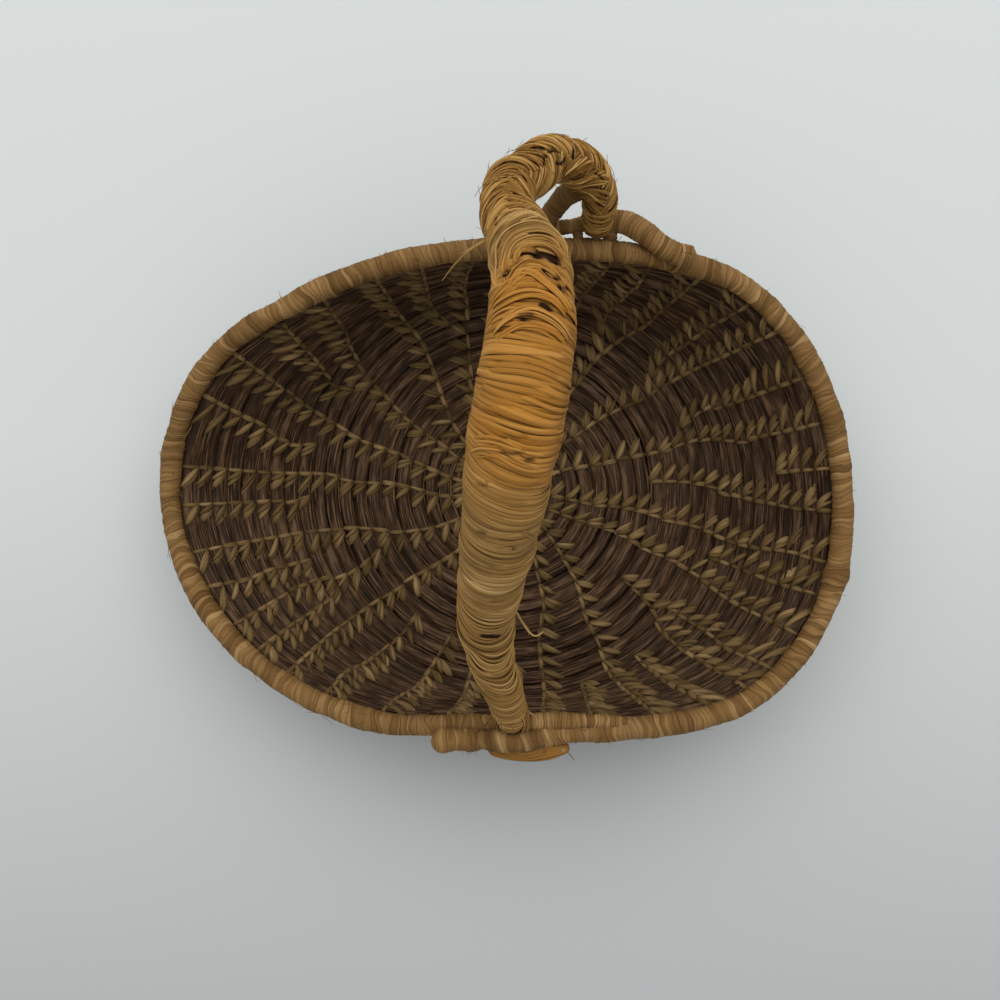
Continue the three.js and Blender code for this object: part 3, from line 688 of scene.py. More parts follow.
def fern_stitches(name, facing, seed):
    """Each stitch is a spine strand over its row and two slanted leaf strands that start with it."""
    rng = np.random.default_rng(seed)
    found = [spoke_rows(spoke) for spoke in SPOKES]
    row, angle = [np.concatenate(part)[:, None] for part in zip(*found)]
    column = row.shape
    drift = np.concatenate([np.gradient(angles) for _, angles in found])[:, None] * bowl(angle, row)[0]
    start = rng.normal(-0.52, 0.07, column)
    reach = (4.2 + row / 28) * rng.uniform(0.7, 1.25, column)
    # Way round the bowl, lead, half width, half thickness and taper
    kinds = [(drift, 0.06, 0.92, 0.5, 0.15), (reach, 0.02, 1.5, 0.5, 0.5),
             (reach * rng.uniform(0.4, 1.2, column), -0.1, 1.0, 0.95, 0.5)]
    made = []
    for way, lead, width, thick, taper in kinds:
        thick = thick * rng.uniform(0.85, 1.15, column)
        middle, away, bow = strap_paths(row, angle, way, start - lead, start + 1.1, thick, facing)
        taper = 1 - taper + taper * bow
        made.append((middle, away, taper * (width * rng.uniform(0.75, 1.2, column)), taper * thick))
    paths, away, width, thick = [np.concatenate(part) for part in zip(*made)]
    # Painted shade towards each strand's ends, where it dives between the rows.
    painted_dark = (np.abs(np.linspace(-1, 1, STITCH_POINTS)) ** 3 * 0.7)[:, None]
    strands(name, paths, away, STITCH_RAFFIA, "raffia_rim", width=width, thick=thick, sides=7, seed=seed,
            spread=0.28, depth=painted_dark)


fern_stitches("inside_fern_stitches", facing=1, seed=51)
fern_stitches("outside_fern_stitches", facing=-1, seed=61)


# Wound raffia: the rows of a winding's grid follow its strands, so that each strand keeps a crisp edge

STRAND_ROWS = np.array([0, 0.1, 0.3, 0.52, 0.76, 0.92])
# How dark the open slots are painted: painted shade at the bottom of a slot.
SLOT_SHADE = 1.8
PATTERN_SHIFT = 37


def strand_edges(first, last, width_at, seed):
    """Where one strand of a winding ends and the next begins, in millimetres along the tube."""
    rng = np.random.default_rng(seed)
    edges = [first]
    while edges[-1] < last:
        edges.append(edges[-1] + width_at(edges[-1]) * rng.uniform(0.6, 1.5))
    edges[-1] = last
    return np.array(edges)


def steady(value):
    """A setting that is the same all along a tube."""
    return lambda place: value + 0 * place


def varied(*stops):
    """A setting that changes along a tube, through (millimetres, value) stops."""
    places, values = np.array(stops, float).T
    return lambda place: np.interp(place, places, values)


def wound(name, path, material, slot, *nodes, span, around, strand_width, relief, wave, seed, shear=None,
          gold=None, swell=0, ripple=0.3, closed_ends=(0, 0), shade=0, dips=None):
    """A tube wound with strands. A strand's points lie at its place plus shear(place, angle) along the path.
    Its crown is the root of 1 - x^4, it stands `relief` times its crown off the tube, and it rises and sinks
    by `wave` millimetres round it. A closed end is a quarter circle. The settings are numbers, or change with
    the place."""
    strand_width, relief, wave, swell, shade = [
        value if callable(value) else steady(value) for value in (strand_width, relief, wave, swell, shade)]
    edges = strand_edges(*span, strand_width, seed)
    size = np.diff(edges)
    share = np.append(np.tile(STRAND_ROWS, len(size)), 0)[:, None]
    which = np.append(np.repeat(np.arange(len(size)), len(STRAND_ROWS)), len(size) - 1)[:, None]
    place = edges[which] + share * size[which]
    place[-1] = edges[-1]
    angle = (np.arange(around) / around - 0.5)[None] * TURN
    along = place + wander(place, angle, seed + 1, length=14, height=ripple, turns=3)
    if shear:
        along = along + shear(place, angle)
    along = np.clip(along, path[0][0], path[0][-1])
    rng = np.random.default_rng(seed + 2)
    phase, beat = rng.uniform(0, TURN, len(size)), rng.integers(1, 3, len(size))
    tone = np.clip(rng.normal(0.5, 0.24, len(size)), 0, 1)[which]
    crown = (1 - np.abs(2 * share - 1) ** 4) ** 0.5
    ride = wave(place) * np.sin(beat[which] * angle + phase[which]) * crown
    lift = relief(place) * (crown - 0.5) + ride + wander(place, angle, seed + 3, length=20, height=0.18)
    # Painted shade between the turns and where a strand rides low, plus the painted shade that the setting
    # gives, and in the open slots.
    depth = (1 - crown) ** 1.5 * np.clip(1 - 0.6 * ride / np.maximum(wave(place), 0.05), 0.3, 1.6)
    depth = np.clip(depth + np.minimum(shade(place), 1), 0, 1) + np.maximum(shade(place) - 1, 0)
    if dips:
        depth = depth + SLOT_SHADE * np.minimum(dips(along, angle), 1)
    middle, off, radius = off_path(path, along, angle)
    radius = radius + swell(place) + lift
    for reach, edge in zip(closed_ends, (place - span[0], span[1] - place)):
        if reach:
            radius = radius * np.sqrt(np.clip(1 - (1 - np.clip(edge / reach, 0, 1)) ** 2, 0.02, 1))
    wrapped = (np.arange(around + 1) / around - 0.5)[None] * TURN * path[1].mean()
    uv = np.stack(np.broadcast_arrays(wrapped + PATTERN_SHIFT * which, place), -1)
    rings = middle + radius[..., None] * off
    piece(name, rings[None], uv[None], material, slot, *nodes, tone=tone, depth=depth,
          gold=gold(place, angle) if gold else 0)


def plain_winding(name, path, *nodes, **settings):
    """Raffia wound straight round a tube for its whole length."""
    wound(name, path, RIM_RAFFIA, "raffia_rim", *nodes, span=(0, path[0][-1]), around=28, relief=0.26,
          wave=0.12, swell=-0.05, **settings)


def lengthwise_strands(name, path, count, seed):
    """Flat fibres from end to end of a tube, on the side that faces the camera; both ends close down."""
    rng = np.random.default_rng(seed)
    t = np.linspace(0.01, 0.99, 40)[None]
    angle = np.linspace(-1.9, 1.9, count)[:, None] + rng.normal(0, 0.12, (count, 1))
    angle = angle + wander(40 * t, 0, seed, length=30, height=0.2)
    middle, off, radius = off_path(path, t * path[0][-1], angle)
    closing = np.sqrt(1 - (2 * t - 1) ** 10)
    lift = (radius + rng.uniform(-0.1, 0.25, (count, 1))) * closing
    width = rng.uniform(0.45, 0.85, (count, 1)) * (0.35 + 0.65 * closing)
    strands(name, middle + off * lift[..., None], off, HANDLE_RAFFIA, "raffia_rim", width=width, thick=0.25,
            sides=6, seed=seed, depth=0.1, gold=0.5)


# Rim, and the knob that ends it

MM_PER_ROUND = 700
rounds = np.linspace(0, RIM_TURNS, 1500)
rim_points = rim_middle(rounds)
rim_swell = sum(high * bell(rounds, at, wide) for at, wide, high in RIM_SWELLS)
rim_uneven = wander(rounds * MM_PER_ROUND, 0, 71, length=45, height=0.16)
rim_path = tube_path(rim_points, 2 * (RIM_RADIUS + rim_swell + rim_uneven))
rim_length = rim_path[0][-1]


def rim_shade(place):
    """Darker stretches of the rim, and painted shade in the notch where its end knob begins."""
    stretch = np.clip(wander(place, 0, 73, length=28, height=0.7), 0, 0.75)
    return 0.25 + stretch + 2 * bell(place / rim_length * RIM_TURNS, NOTCH_AT, 0.0025)


wound("rim_binding", rim_path, RIM_RAFFIA, "raffia_rim", "rim_wrap", span=(0, rim_length), around=30,
      strand_width=1.8, relief=0.17, wave=0.12, seed=72, ripple=0.5, shade=rim_shade,
      shear=lambda place, angle: 0.8 * np.sin(angle + 0.6))

knob_width = varied((-13, 5.4), (-11.5, 7.6), (-8, 8.7), (-5, 6.4), (-3, 8.0), (0, 9.1), (4.8, 8.9))
knob_reach = np.linspace(-13, 4.8, 60)
knob_points = rim_points[-1] + unit(rim_points[-1] - rim_points[-8]) * knob_reach[:, None]
plain_winding("rim_end_knob", tube_path(knob_points, knob_width(knob_reach)), "rim_end_knot",
              strand_width=1.3, seed=84, closed_ends=(2, 4.5))


# Arch, strut, lug and centre knot

arch_points, arch_width, _ = curve_through(rim_route(ARCH_ROUTE), count=180)
plain_winding("arch_winding", tube_path(arch_points, arch_width), "back_arch", strand_width=1.5, seed=81,
              closed_ends=(3, 0))
strut_points, strut_width, _ = curve_through(rim_route(STRUT_ROUTE), count=90)
# Painted shade: the strut's raffia is darkened, as it lies in shadow behind the hook.
plain_winding("strut_winding", tube_path(strut_points, 1.3 * strut_width), "back_strut", strand_width=1.3,
              seed=82, shade=2.0)

lug_points, lug_width, _ = curve_through(rim_route(LUG_ROUTE), count=90)
lug_taper = 1 - 0.45 * smooth((np.linspace(0, 1, 90) - 0.7) / 0.3)
lug_path = tube_path(lug_points, lug_width * lug_taper)
plain_winding("lug_winding", lug_path, "front_lug", strand_width=1.6, seed=83, closed_ends=(3, 3))
lengthwise_strands("lug_strands", lug_path, count=15, seed=109)

KNOT_WIDTH = 5.0
knot_loop = np.linspace(-1.28, 0.02, 160)
knot_points = off_bowl(START_ANGLE - TURN * knot_loop, FIRST_ROW + COIL_PITCH * knot_loop, 0, 0)
plain_winding("centre_winding", tube_path(knot_points, KNOT_WIDTH + 0 * knot_loop), "centre_knot",
              strand_width=1.5, seed=85)


# Ties and binding between the rim and the arch

def arch_beside(point):
    """The point of the arch's middle line that is nearest to a point."""
    return arch_points[np.argmin(np.linalg.norm(arch_points - point, axis=1))]


def tie_between(name, degrees, width, seed, node_name):
    """A short wound tie from the rim to the arch, a quarter thicker at its ends than at its waist."""
    start = near_rim(degrees, 0, 0)
    t = np.linspace(0, 1, 24)
    points = start + (arch_beside(start) - start) * t[:, None]
    path = tube_path(points, width * (1 + 0.25 * (2 * t - 1) ** 2))
    plain_winding(name, path, node_name, strand_width=1.2, seed=seed, shade=1.6)


tie_between("left_tie_winding", degrees=74.6, width=3.4, seed=86, node_name="back_tie_left")
tie_between("right_tie_winding", degrees=68.2, width=4.6, seed=87, node_name="back_tie_right")


def binding_loops(name, degrees, count, spacing, seed, node_name):
    """Raffia strands round the rim and the arch together, side by side: each an oval about both middles."""
    beyond = 4.5
    rng = np.random.default_rng(seed)
    low = near_rim(degrees, 0, 0)
    high = arch_beside(low)
    along = unit(near_rim(degrees - 2, 0, 0) - near_rim(degrees + 2, 0, 0))
    tall = unit(high - low)
    tall = unit(tall - along * tall.dot(along))
    broad = np.cross(along, tall)
    t = (np.linspace(0, 1, 40) * TURN)[None, :, None]
    half = np.linalg.norm(high - low) / 2
    place = ((np.arange(count) - (count - 1) / 2) * spacing + rng.normal(0, 0.15, count))[:, None, None]
    flat_way = np.sign(np.cos(t)) * np.abs(np.cos(t)) ** 0.8
    paths = ((low + high) / 2 + tall * (half + beyond) * flat_way + broad * beyond * np.sin(t)
             + along * (place + rng.uniform(-0.6, 0.6, (count, 1, 1)) * np.sin(t + 1)))
    away = tall * np.cos(t) + broad * np.sin(t) + 0 * place
    strands(name, paths, away, RIM_RAFFIA, "raffia_rim", node_name, width=0.75, thick=0.4, sides=6, seed=seed,
            depth=0, gold=0)


binding_loops("arch_binding_strands", degrees=54.2, count=4, spacing=1.0, seed=88, node_name="arch_binding")


# Handle

def handle_route():
    """The route in x, y, z and width, from its shares between the two feet."""
    front_foot, back_foot = near_rim(*FRONT_FOOT), near_rim(*BACK_FOOT)
    onward, aside, rise, width = HANDLE_ROUTE.T
    return np.column_stack([front_foot[0] + aside, front_foot[1] + onward * (back_foot[1] - front_foot[1]),
                            front_foot[2] + rise * HANDLE_RISE, width])


handle_points, handle_width, handle_along = curve_through(handle_route(), count=900)
handle_path = tube_path(handle_points, handle_width)
handle_length = handle_along[-1]

# Settings along the handle, in millimetres from its front foot
strand_spacing = varied((26, 0.85), (36, 1.05), (110, 1.2), (160, 1.2), (170, 1.5), (200, 1.4), (210, 1.6),
                        (275, 1.6), (282, 0.8))
strand_thickness = varied((0, 0.24), (26, 0.2), (36, 0.38), (55, 0.36), (75, 0.16), (155, 0.13), (172, 0.4),
                          (275, 0.4), (283, 0.22))
strand_ride = varied((26, 0.12), (36, 0.4), (55, 0.4), (75, 0.1), (155, 0.08), (172, 0.4))
strand_tilt = varied((0, 0.5), (26, 0.8), (36, 2.2), (58, 2.2), (80, 0.7), (155, 0.9), (168, 2), (275, 2),
                     (283, 0.5))
foot_sink = varied((0, 3.6), (4.5, 2.8), (10, 0))
smile = varied((0, 0.4), (12, 2), (25, 4.5), (36, 6.5), (50, 7), (66, 3.5), (88, 0), (180, 0), (194, -2.5),
               (GRIP_END, -5), (270, -5), (281, 0))
slope_down_right = varied((88, 0), (100, 0.8), (118, 1.5), (126, 3.2), (134, 1.2), (160, 0.5), (175, 0))
seam_degrees = varied((206, 10), (220, 6), (232, 0), (250, 0), (258, -28), (292, -34))
base_swell = varied((0, -3.4), (5, -2.9), (10, -0.9), (18, -0.5), (28, -0.5), (38, -0.9), (55, -0.9),
                    (75, -0.35), (158, -0.35), (170, -1.3), (276, -1.3), (284, -0.7))
base_shade = varied((0, 0.2), (28, 0.25), (38, 0.65), (58, 0.65), (75, 0.15), (158, 0.2), (170, 0.7),
                    (200, 0.7), (212, 0.8))
SMILE_FACES = math.radians(25)


def on_handle(place, angle, lift):
    """Points at a lift off the wound handle, and the directions straight off it; angle 0 faces the camera."""
    middle, off, radius = off_path(handle_path, place, angle)
    return middle + off * (radius + lift)[..., None], off


def handle_shear(place, angle):
    """Strands hang like a smile on the leg and slope down to the right on the grip."""
    return smile(place) * (1 - np.cos(angle - SMILE_FACES)) - slope_down_right(place) * np.sin(angle)


def handle_gold(place, angle):
    """Where the raffia is golden: on the upper grip, less at its ends and none on the leg and the hook."""
    golden = smooth((place - 108) / 30) * (1 - smooth((place - 166) / 26))
    return golden * (0.8 + 0.2 * np.cos(angle - 0.3))


def traced(pixels, count):
    """Places and angles on the side of the handle that the camera sees, along a line of pixels."""
    place, angle = np.meshgrid(np.linspace(0, handle_length, 900), np.linspace(-1.6, 1.6, 97), indexing="ij")
    seen = to_pixels(on_handle(place, angle, 0)[0])
    nearest = [((seen - pixel) ** 2).sum(-1).argmin() for pixel in pixels]
    route = np.array([[*part.ravel()[nearest]] for part in (place, angle)])
    even, stops = np.linspace(0, 1, count), np.linspace(0, 1, len(pixels))
    kernel = np.hanning(7)[1:-1] / np.hanning(7)[1:-1].sum()
    lines = [np.interp(even, stops, part) for part in route]
    return [np.convolve(np.pad(line, 2, "edge"), kernel, "valid") for line in lines]


# Open slots between strands, read off the photograph: depth and half width in millimetres, and pixels
OPEN_SLOTS = [
    (2.4, 1.2, [(536, 256), (542, 253), (550, 256), (558, 262)]),
    (1.5, 0.7, [(543, 271), (548, 274), (554, 278), (559, 279)]),
    (1.5, 0.8, [(559, 287), (564, 290), (569, 293)]), (1.4, 0.8, [(543, 305), (550, 309)]),
    (0.9, 0.8, [(520, 319), (531, 317)]), (1.5, 0.7, [(505, 276), (510, 271)]),
    (1.0, 0.6, [(514, 266), (520, 261)]), (1.6, 0.7, [(545, 163), (547, 155)]),
    (1.3, 0.6, [(550, 150), (556, 149), (561, 152)]), (1.3, 0.6, [(557, 163), (563, 166), (566, 159)]),
    (1.7, 0.7, [(574, 149), (574, 158)]), (0.9, 0.5, [(494, 224), (498, 219), (503, 216)]),
    (0.9, 0.5, [(509, 228), (514, 224), (520, 222)]), (0.8, 0.5, [(500, 181), (508, 174)]),
    (0.8, 0.5, [(596, 174), (603, 178)]), (1.8, 0.8, [(482, 636), (490, 637), (498, 637)]),
    (0.4, 0.5, [(500, 437), (513, 439), (527, 438)]), (0.5, 0.5, [(499, 452), (511, 454), (524, 453)]),
    (0.5, 0.6, [(526, 460), (534, 461)]), (0.3, 0.6, [(477, 484), (486, 485)]),
    (0.3, 0.8, [(478, 532), (484, 533)]), (0.5, 0.5, [(507, 547), (516, 548)]),
]
SLOT_LINES = [(deep, half_width, *traced(pixels, 9)) for deep, half_width, pixels in OPEN_SLOTS]


def dip_at(place, angle):
    """How far the strands are sunk in the open slots: full depth on a slot's line, and less away from it."""
    total = 0 * (place + angle)
    radius = np.interp(place, handle_along, handle_width) / 2
    for deep, half_width, places, angles in SLOT_LINES:
        for at, turned in zip(places, angles):
            distance = (place - at) ** 2 + (radius * ((angle - turned + math.pi) % TURN - math.pi)) ** 2
            total = np.maximum(total, deep * np.exp(-distance / half_width ** 2))
    return total


def handle_strands(name, place, angle, lift, width, seed, material, spread=0.25):
    """Strands on the handle along lines of places and angles, sunk in the slots, with painted shade in the
    slots, on their edges and in a band down the grip's right side.
    """
    sides = 6
    sunk = dip_at(place, angle)
    thick = strand_thickness(place)
    lift = lift + wander(place, angle, 97, length=13, height=0.3) - foot_sink(place)
    paths, off = on_handle(np.clip(place, 0, handle_length), angle, lift - thick - sunk)
    corner = (np.arange(sides) + 0.5) / sides * TURN
    # Painted shade on each strand's edges and underside, where it lies on the strands below.
    edge = np.clip(0.2 - 0.8 * np.sin(corner), 0, 1) * np.minimum(thick / 0.45, 1)[..., None]
    # Painted shade in a band down the right side of the grip, where the strips fold into a groove.
    shadow = bell(angle, 1.2, 0.28) * smooth((place - 112) / 8) * (1 - smooth((place - 158) / 8))
    depth = np.clip(edge + 0.45 * shadow[..., None], 0, 1) + SLOT_SHADE * np.minimum(sunk, 1)[..., None]
    strands(name, paths, off, material, "raffia_handle", width=width, thick=thick, sides=sides, seed=seed,
            spread=spread, depth=depth, gold=handle_gold(place, angle)[..., None])


def turns_of_strand(name, first, last, seed, wide, material=HANDLE_RAFFIA):
    """Turns of raffia round the handle: each leans and rides its own way, so that it crosses its neighbours.
    The lean and the ride are sines of the angle, and both ends dive below the others at the back."""
    rng = np.random.default_rng(seed)
    start = strand_edges(first, last, strand_spacing, seed)[:, None]
    column = start.shape
    angle = (np.linspace(0, 1, 84)[None] - 0.5) * TURN * 1.03
    phase = rng.uniform(0, TURN, (3, *column))
    bundle = wander(start, 0, seed + 5, length=11, height=1.1)
    lean = bundle * np.sin(angle + 1.1) + rng.normal(0, 0.3, column) * np.sin(angle + phase[0])
    place = start + handle_shear(start, angle) + strand_tilt(start) * lean
    place = place + wander(start, angle, seed + 1, length=14, height=0.35, turns=3)
    ride = strand_ride(start) * (np.sin(angle + phase[1]) + 0.6 * np.sin(2 * angle + phase[2])) / 1.4
    ride = ride - 1.2 * smooth((np.abs(angle) - 3.0) / 0.2)
    width = strand_spacing(start) / 2 * wide * rng.uniform(0.75, 1.2, column)
    width = width * (1 + 0.12 * np.sin(2 * angle + phase[0]))
    handle_strands(name, place, angle, ride, width, seed, material)


def herringbone(name, first, last, spacing, seed):
    """Strands from the back of the handle, up both sides, to a seam where the two sides interlock: each
    slopes along the handle in step with its angle from the seam, and ends a little past it."""
    rng = np.random.default_rng(seed)
    start = np.repeat(np.arange(first, last, spacing), 2)[:, None]
    column = start.shape
    start = start + rng.normal(0, 0.5, column)
    side = np.tile([-1, 1], len(start) // 2)[:, None]
    past = rng.uniform(0, 0.45, column)
    away = 3.2 + (-past - 3.2) * np.linspace(0, 1, 44)[None]
    slope = np.where(side < 0, 3.7, 5.4) * rng.uniform(0.7, 1.35, column)
    place = start - slope * away * (1 + 0.12 * np.sin(2 * away + rng.uniform(0, TURN, column)))
    angle = np.radians(seam_degrees(start)) + side * away
    ride = 0.4 * np.sin(1.7 * away + rng.uniform(0, TURN, column)) - 0.9 * smooth((0.25 - away) / 0.6) - 0.3
    ride = ride - 1.4 * smooth((FOLD_AT - place) / 3)
    width = 0.42 * rng.uniform(0.6, 1.4, column)
    handle_strands(name, np.maximum(place, FOLD_AT - 12), angle, ride, width, seed, HOOK_RAFFIA, spread=0.35)


def traced_strands(name, lines, seed):
    """Bundles where the photograph shows them, each as half a width in millimetres, a lift and its pixels. A
    bundle is a few strands that swap places a little, set beside its line at right angles."""
    fibres = 4
    rng = np.random.default_rng(seed)
    routes = np.repeat([traced(pixels, 26) for _, _, pixels in lines], fibres, axis=0)
    half, lift = [np.repeat([line[k] for line in lines], fibres)[:, None] for k in (0, 1)]
    lane = np.tile((np.arange(fibres) + 0.5) / fibres * 2 - 1, len(lines))[:, None]
    t = np.linspace(-1, 1, 26)[None]
    place, angle = routes[:, 0], routes[:, 1]
    radius = np.interp(place, handle_along, handle_width) / 2
    ahead, turning = np.gradient(place, axis=1), radius * np.gradient(angle, axis=1)
    pace = np.hypot(ahead, turning) + 1e-6
    beside = half * (lane + 0.35 * np.sin(2.2 * t + rng.uniform(0, TURN, lane.shape))) * 0.8
    place = place - beside * turning / pace
    angle = angle + beside * ahead / pace / radius
    width = half * 1.5 / fibres * rng.uniform(0.7, 1.3, lane.shape) * (1 - 0.35 * t ** 8)
    ride = lift + rng.normal(0, 0.15, lane.shape) + 0.2 * np.sin(2 * t + 5 * lane) - 0.9 * t ** 6
    handle_strands(name, place, angle, ride, width, seed, HANDLE_RAFFIA)


# The winding below, in the shade of the strands that lie on it
for base_name, base_span, base_seed, base_node in (
        ("leg_winding", (0, LEG_END), 91, "front_leg_wrap"),
        ("grip_winding", (LEG_END, GRIP_END), 92, "grip_wrap"),
        ("hook_winding", (GRIP_END, handle_length), 93, "hook_wrap")):
    wound(base_name, handle_path, HANDLE_RAFFIA, "raffia_handle", base_node, span=base_span, around=60,
          strand_width=strand_spacing, relief=0.3, wave=0.1, seed=base_seed, shear=handle_shear,
          gold=handle_gold, swell=base_swell, shade=base_shade, dips=dip_at)

turns_of_strand("leg_strands", first=4.5, last=LEG_END, seed=94, wide=1.15)
turns_of_strand("grip_strands", first=LEG_END, last=FOLD_AT, seed=95, wide=1.5)
herringbone("hook_strands", first=FOLD_AT - 2, last=SEAM_END, spacing=0.62, seed=96)
turns_of_strand("hook_end_strands", first=LAST_TURNS_FROM, last=handle_length - 0.5, seed=99, wide=1.2,
                material=HOOK_RAFFIA)

# The back foot: raffia goes on from the end of the hook down into the arch
hook_end = handle_points[-1]
hook_ahead = unit(hook_end - handle_points[-12])
arch_below = arch_beside(hook_end)
foot_route = np.column_stack([[hook_end - 4 * hook_ahead, hook_end, (hook_end + arch_below) / 2, arch_below],
                              [9.6, 10.2, 9.6, 7.6]])
foot_points, foot_width, foot_along = curve_through(foot_route, count=60)
wound("back_foot_winding", tube_path(foot_points, foot_width), HOOK_RAFFIA, "raffia_handle",
      span=(0, foot_along[-1]), around=40, strand_width=0.9, relief=0.3, wave=0.25, seed=111, shade=0.3)

# Read off the photograph: half width, lift, and the line's pixels
TOP_FOLD = [
    (1.2, 0.5, [(501, 285), (497, 268), (499, 250), (506, 236), (520, 226), (538, 222), (552, 227),
                (562, 240), (567, 256)]),
    (1.0, 0.7, [(504, 280), (502, 262), (505, 247), (513, 236), (527, 230), (543, 229), (555, 236),
                (563, 250), (568, 268)]),
    (0.9, 0.5, [(509, 276), (508, 262), (511, 249), (519, 241), (531, 237), (545, 237), (556, 245),
                (565, 260)]),
    (1.0, 0.8, [(513, 268), (516, 256), (523, 248), (534, 245), (547, 247), (558, 256), (566, 270)]),
    (1.1, 0.6, [(500, 290), (493, 272), (491, 255), (494, 240), (502, 228), (514, 220)]),
    (1.0, 0.4, [(497, 292), (489, 272), (487, 252), (489, 238), (495, 225)]),
    (0.7, 0.9, [(506, 284), (505, 268), (507, 252), (515, 240), (529, 233)]),
    (0.7, 0.7, [(515, 262), (520, 252), (529, 247), (540, 245)]),
    (0.9, 0.0, [(496, 230), (503, 221), (514, 214), (527, 209), (538, 207)]),
    (0.9, 0.1, [(501, 232), (511, 223), (523, 217), (536, 213), (547, 213)]),
    (0.8, 0.2, [(508, 232), (519, 224), (531, 219), (545, 218), (554, 224)]),
]
GRIP_CROSSINGS = [
    (1.0, 0.5, [(508, 281), (516, 270), (527, 262), (538, 262), (550, 268), (560, 277), (567, 288)]),
    (1.0, 0.7, [(505, 290), (516, 279), (528, 271), (541, 272), (553, 280), (563, 291), (569, 301)]),
    (1.4, 1.0, [(514, 275), (526, 270), (536, 273), (546, 281), (556, 292), (565, 304), (570, 314)]),
    (1.3, 0.6, [(491, 306), (500, 294), (512, 283), (526, 276), (540, 277)]),
    (1.3, 0.4, [(490, 313), (503, 304), (517, 297), (532, 294), (548, 297), (560, 305), (568, 314)]),
    (1.2, 0.3, [(490, 324), (502, 315), (514, 311), (523, 311)]),
    (1.1, 0.7, [(492, 336), (505, 322), (518, 313), (530, 311), (545, 316), (558, 326), (569, 342)]),
    (1.0, 0.3, [(489, 347), (503, 334), (520, 326), (540, 327), (556, 336), (568, 350)]),
    (1.3, 0.1, [(468, 444), (482, 441), (498, 443), (514, 449), (530, 455), (548, 458)]),
    (1.2, 0.1, [(467, 456), (480, 452), (497, 455), (513, 462), (530, 469), (548, 470)]),
    (0.8, 0.1, [(520, 530), (529, 535), (538, 540)]),
]
traced_strands("top_fold_strands", TOP_FOLD, seed=101)
traced_strands("grip_crossing_strands", GRIP_CROSSINGS, seed=102)


# Strands at the front foot, loose ends and small fibres

def foot_strands(name, count, seed):
    """Fibres that run down the front of the leg's foot and spread over the rim: they start under the winding,
    rise most at the sides, and dip at their ends."""
    rng = np.random.default_rng(seed)
    share = ((np.arange(count) + 0.5) / count * 2 - 1)[:, None]
    t = np.linspace(0, 1, 24)[None]
    place = rng.uniform(11, 20, (count, 1)) * (1 - t) + rng.uniform(3.2, 6, (count, 1)) * t
    angle = np.sign(share) * np.abs(share) ** 0.5 * (1.6 + 0.4 * t)
    angle = angle + rng.normal(0, 0.3, (count, 1)) * (1.4 * t - 0.4)
    lift = 0.3 - 1.1 * (1 - t) ** 6 + 3.3 * np.sin(angle) ** 2 * t ** 3 - 0.6 * t ** 8
    lift = lift + rng.normal(0, 0.1, (count, 1))
    width = rng.uniform(0.28, 0.5, (count, 1)) * (1 - 0.3 * t)
    handle_strands(name, place, angle, lift, width, seed, HANDLE_RAFFIA)


foot_strands("foot_strands", count=13, seed=103)


def hanging_strands(name, lines, material, seed):
    """Loose ends in the air, each a start and an end half width and stops of (pixel x, pixel y, height)."""
    paths = []
    for _, _, stops in lines:
        stops = np.array(stops, float)
        paths.append(curve_through(np.column_stack([seen_at(stops[:, :2], stops[:, 2]), stops[:, 2]]), 24)[0])
    t = np.linspace(0, 1, 24)[None]
    first, last = [np.array([line[k] for line in lines])[:, None] for k in (0, 1)]
    upward = np.array([0.2, -0.3, 1.0])
    strands(name, np.array(paths), upward, material, "raffia_handle", width=first * (1 - t) + last * t,
            thick=0.25, sides=6, seed=seed, depth=0, gold=0)


LOOSE_ENDS = [
    (0.45, 0.1, [(487, 240, 128), (470, 250, 127), (455, 264, 123), (442, 281, 117)]),
    (0.35, 0.1, [(486, 238, 128), (474, 246, 125), (461, 254, 120)]),
    (0.5, 0.25, [(514, 608, 88), (521, 620, 86), (530, 633, 84), (536, 636, 83), (543, 632, 82)]),
    (0.3, 0.12, [(524, 624, 85), (529, 630, 84), (528, 636, 83)]),
    (0.4, 0.3, [(512, 668, 76), (519, 671, 78), (522, 679, 77), (518, 686, 74)]),
    (0.35, 0.15, [(545, 744, 58), (560, 750, 55), (568, 753, 53), (574, 760, 50)]),
    (0.3, 0.12, [(486, 190, 120), (481, 194, 121), (480, 202, 121), (484, 207, 122)]),
    (0.2, 0.08, [(449, 253, 64), (447, 246, 65), (444, 238, 66)]),
    (0.2, 0.08, [(284, 305, 63), (281, 299, 64), (279, 291, 65)]),
]
hanging_strands("loose_ends", LOOSE_ENDS, HANDLE_RAFFIA, seed=104)

# Strands that leave the foot and spread over the rim
RIM_STRANDS = [
    (0.6, 0.35, [(511, 700, 70), (520, 706, 69.6), (530, 713, 69), (540, 722, 68.6), (547, 733, 67)]),
    (0.6, 0.35, [(511, 708, 70), (519, 714, 69.6), (529, 721, 69.2), (537, 731, 68)]),
    (0.5, 0.3, [(508, 714, 71), (518, 721, 70.2), (527, 731, 68.5), (531, 740, 65.5)]),
    (0.5, 0.3, [(497, 710, 70), (490, 718, 69.5), (484, 728, 67.5), (482, 738, 64)]),
]
hanging_strands("foot_rim_strands", RIM_STRANDS, RIM_RAFFIA, seed=105)

# The rim's own start lies beside it to the right of the foot and thins out: pixels, height and width
rim_start = np.array([(498, 723, 65, 6.2), (525, 722, 66.4, 6.2), (555, 721, 66.8, 6), (585, 721, 66.5, 5.4),
                      (615, 722, 66, 4.2), (640, 724, 65, 2)], float)
rim_start[:, :3] = seen_at(rim_start[:, :2], rim_start[:, 2])
start_points, start_width, _ = curve_through(rim_start, count=120)
plain_winding("rim_start_winding", tube_path(start_points, start_width), strand_width=1.5, seed=106,
              closed_ends=(2, 2))


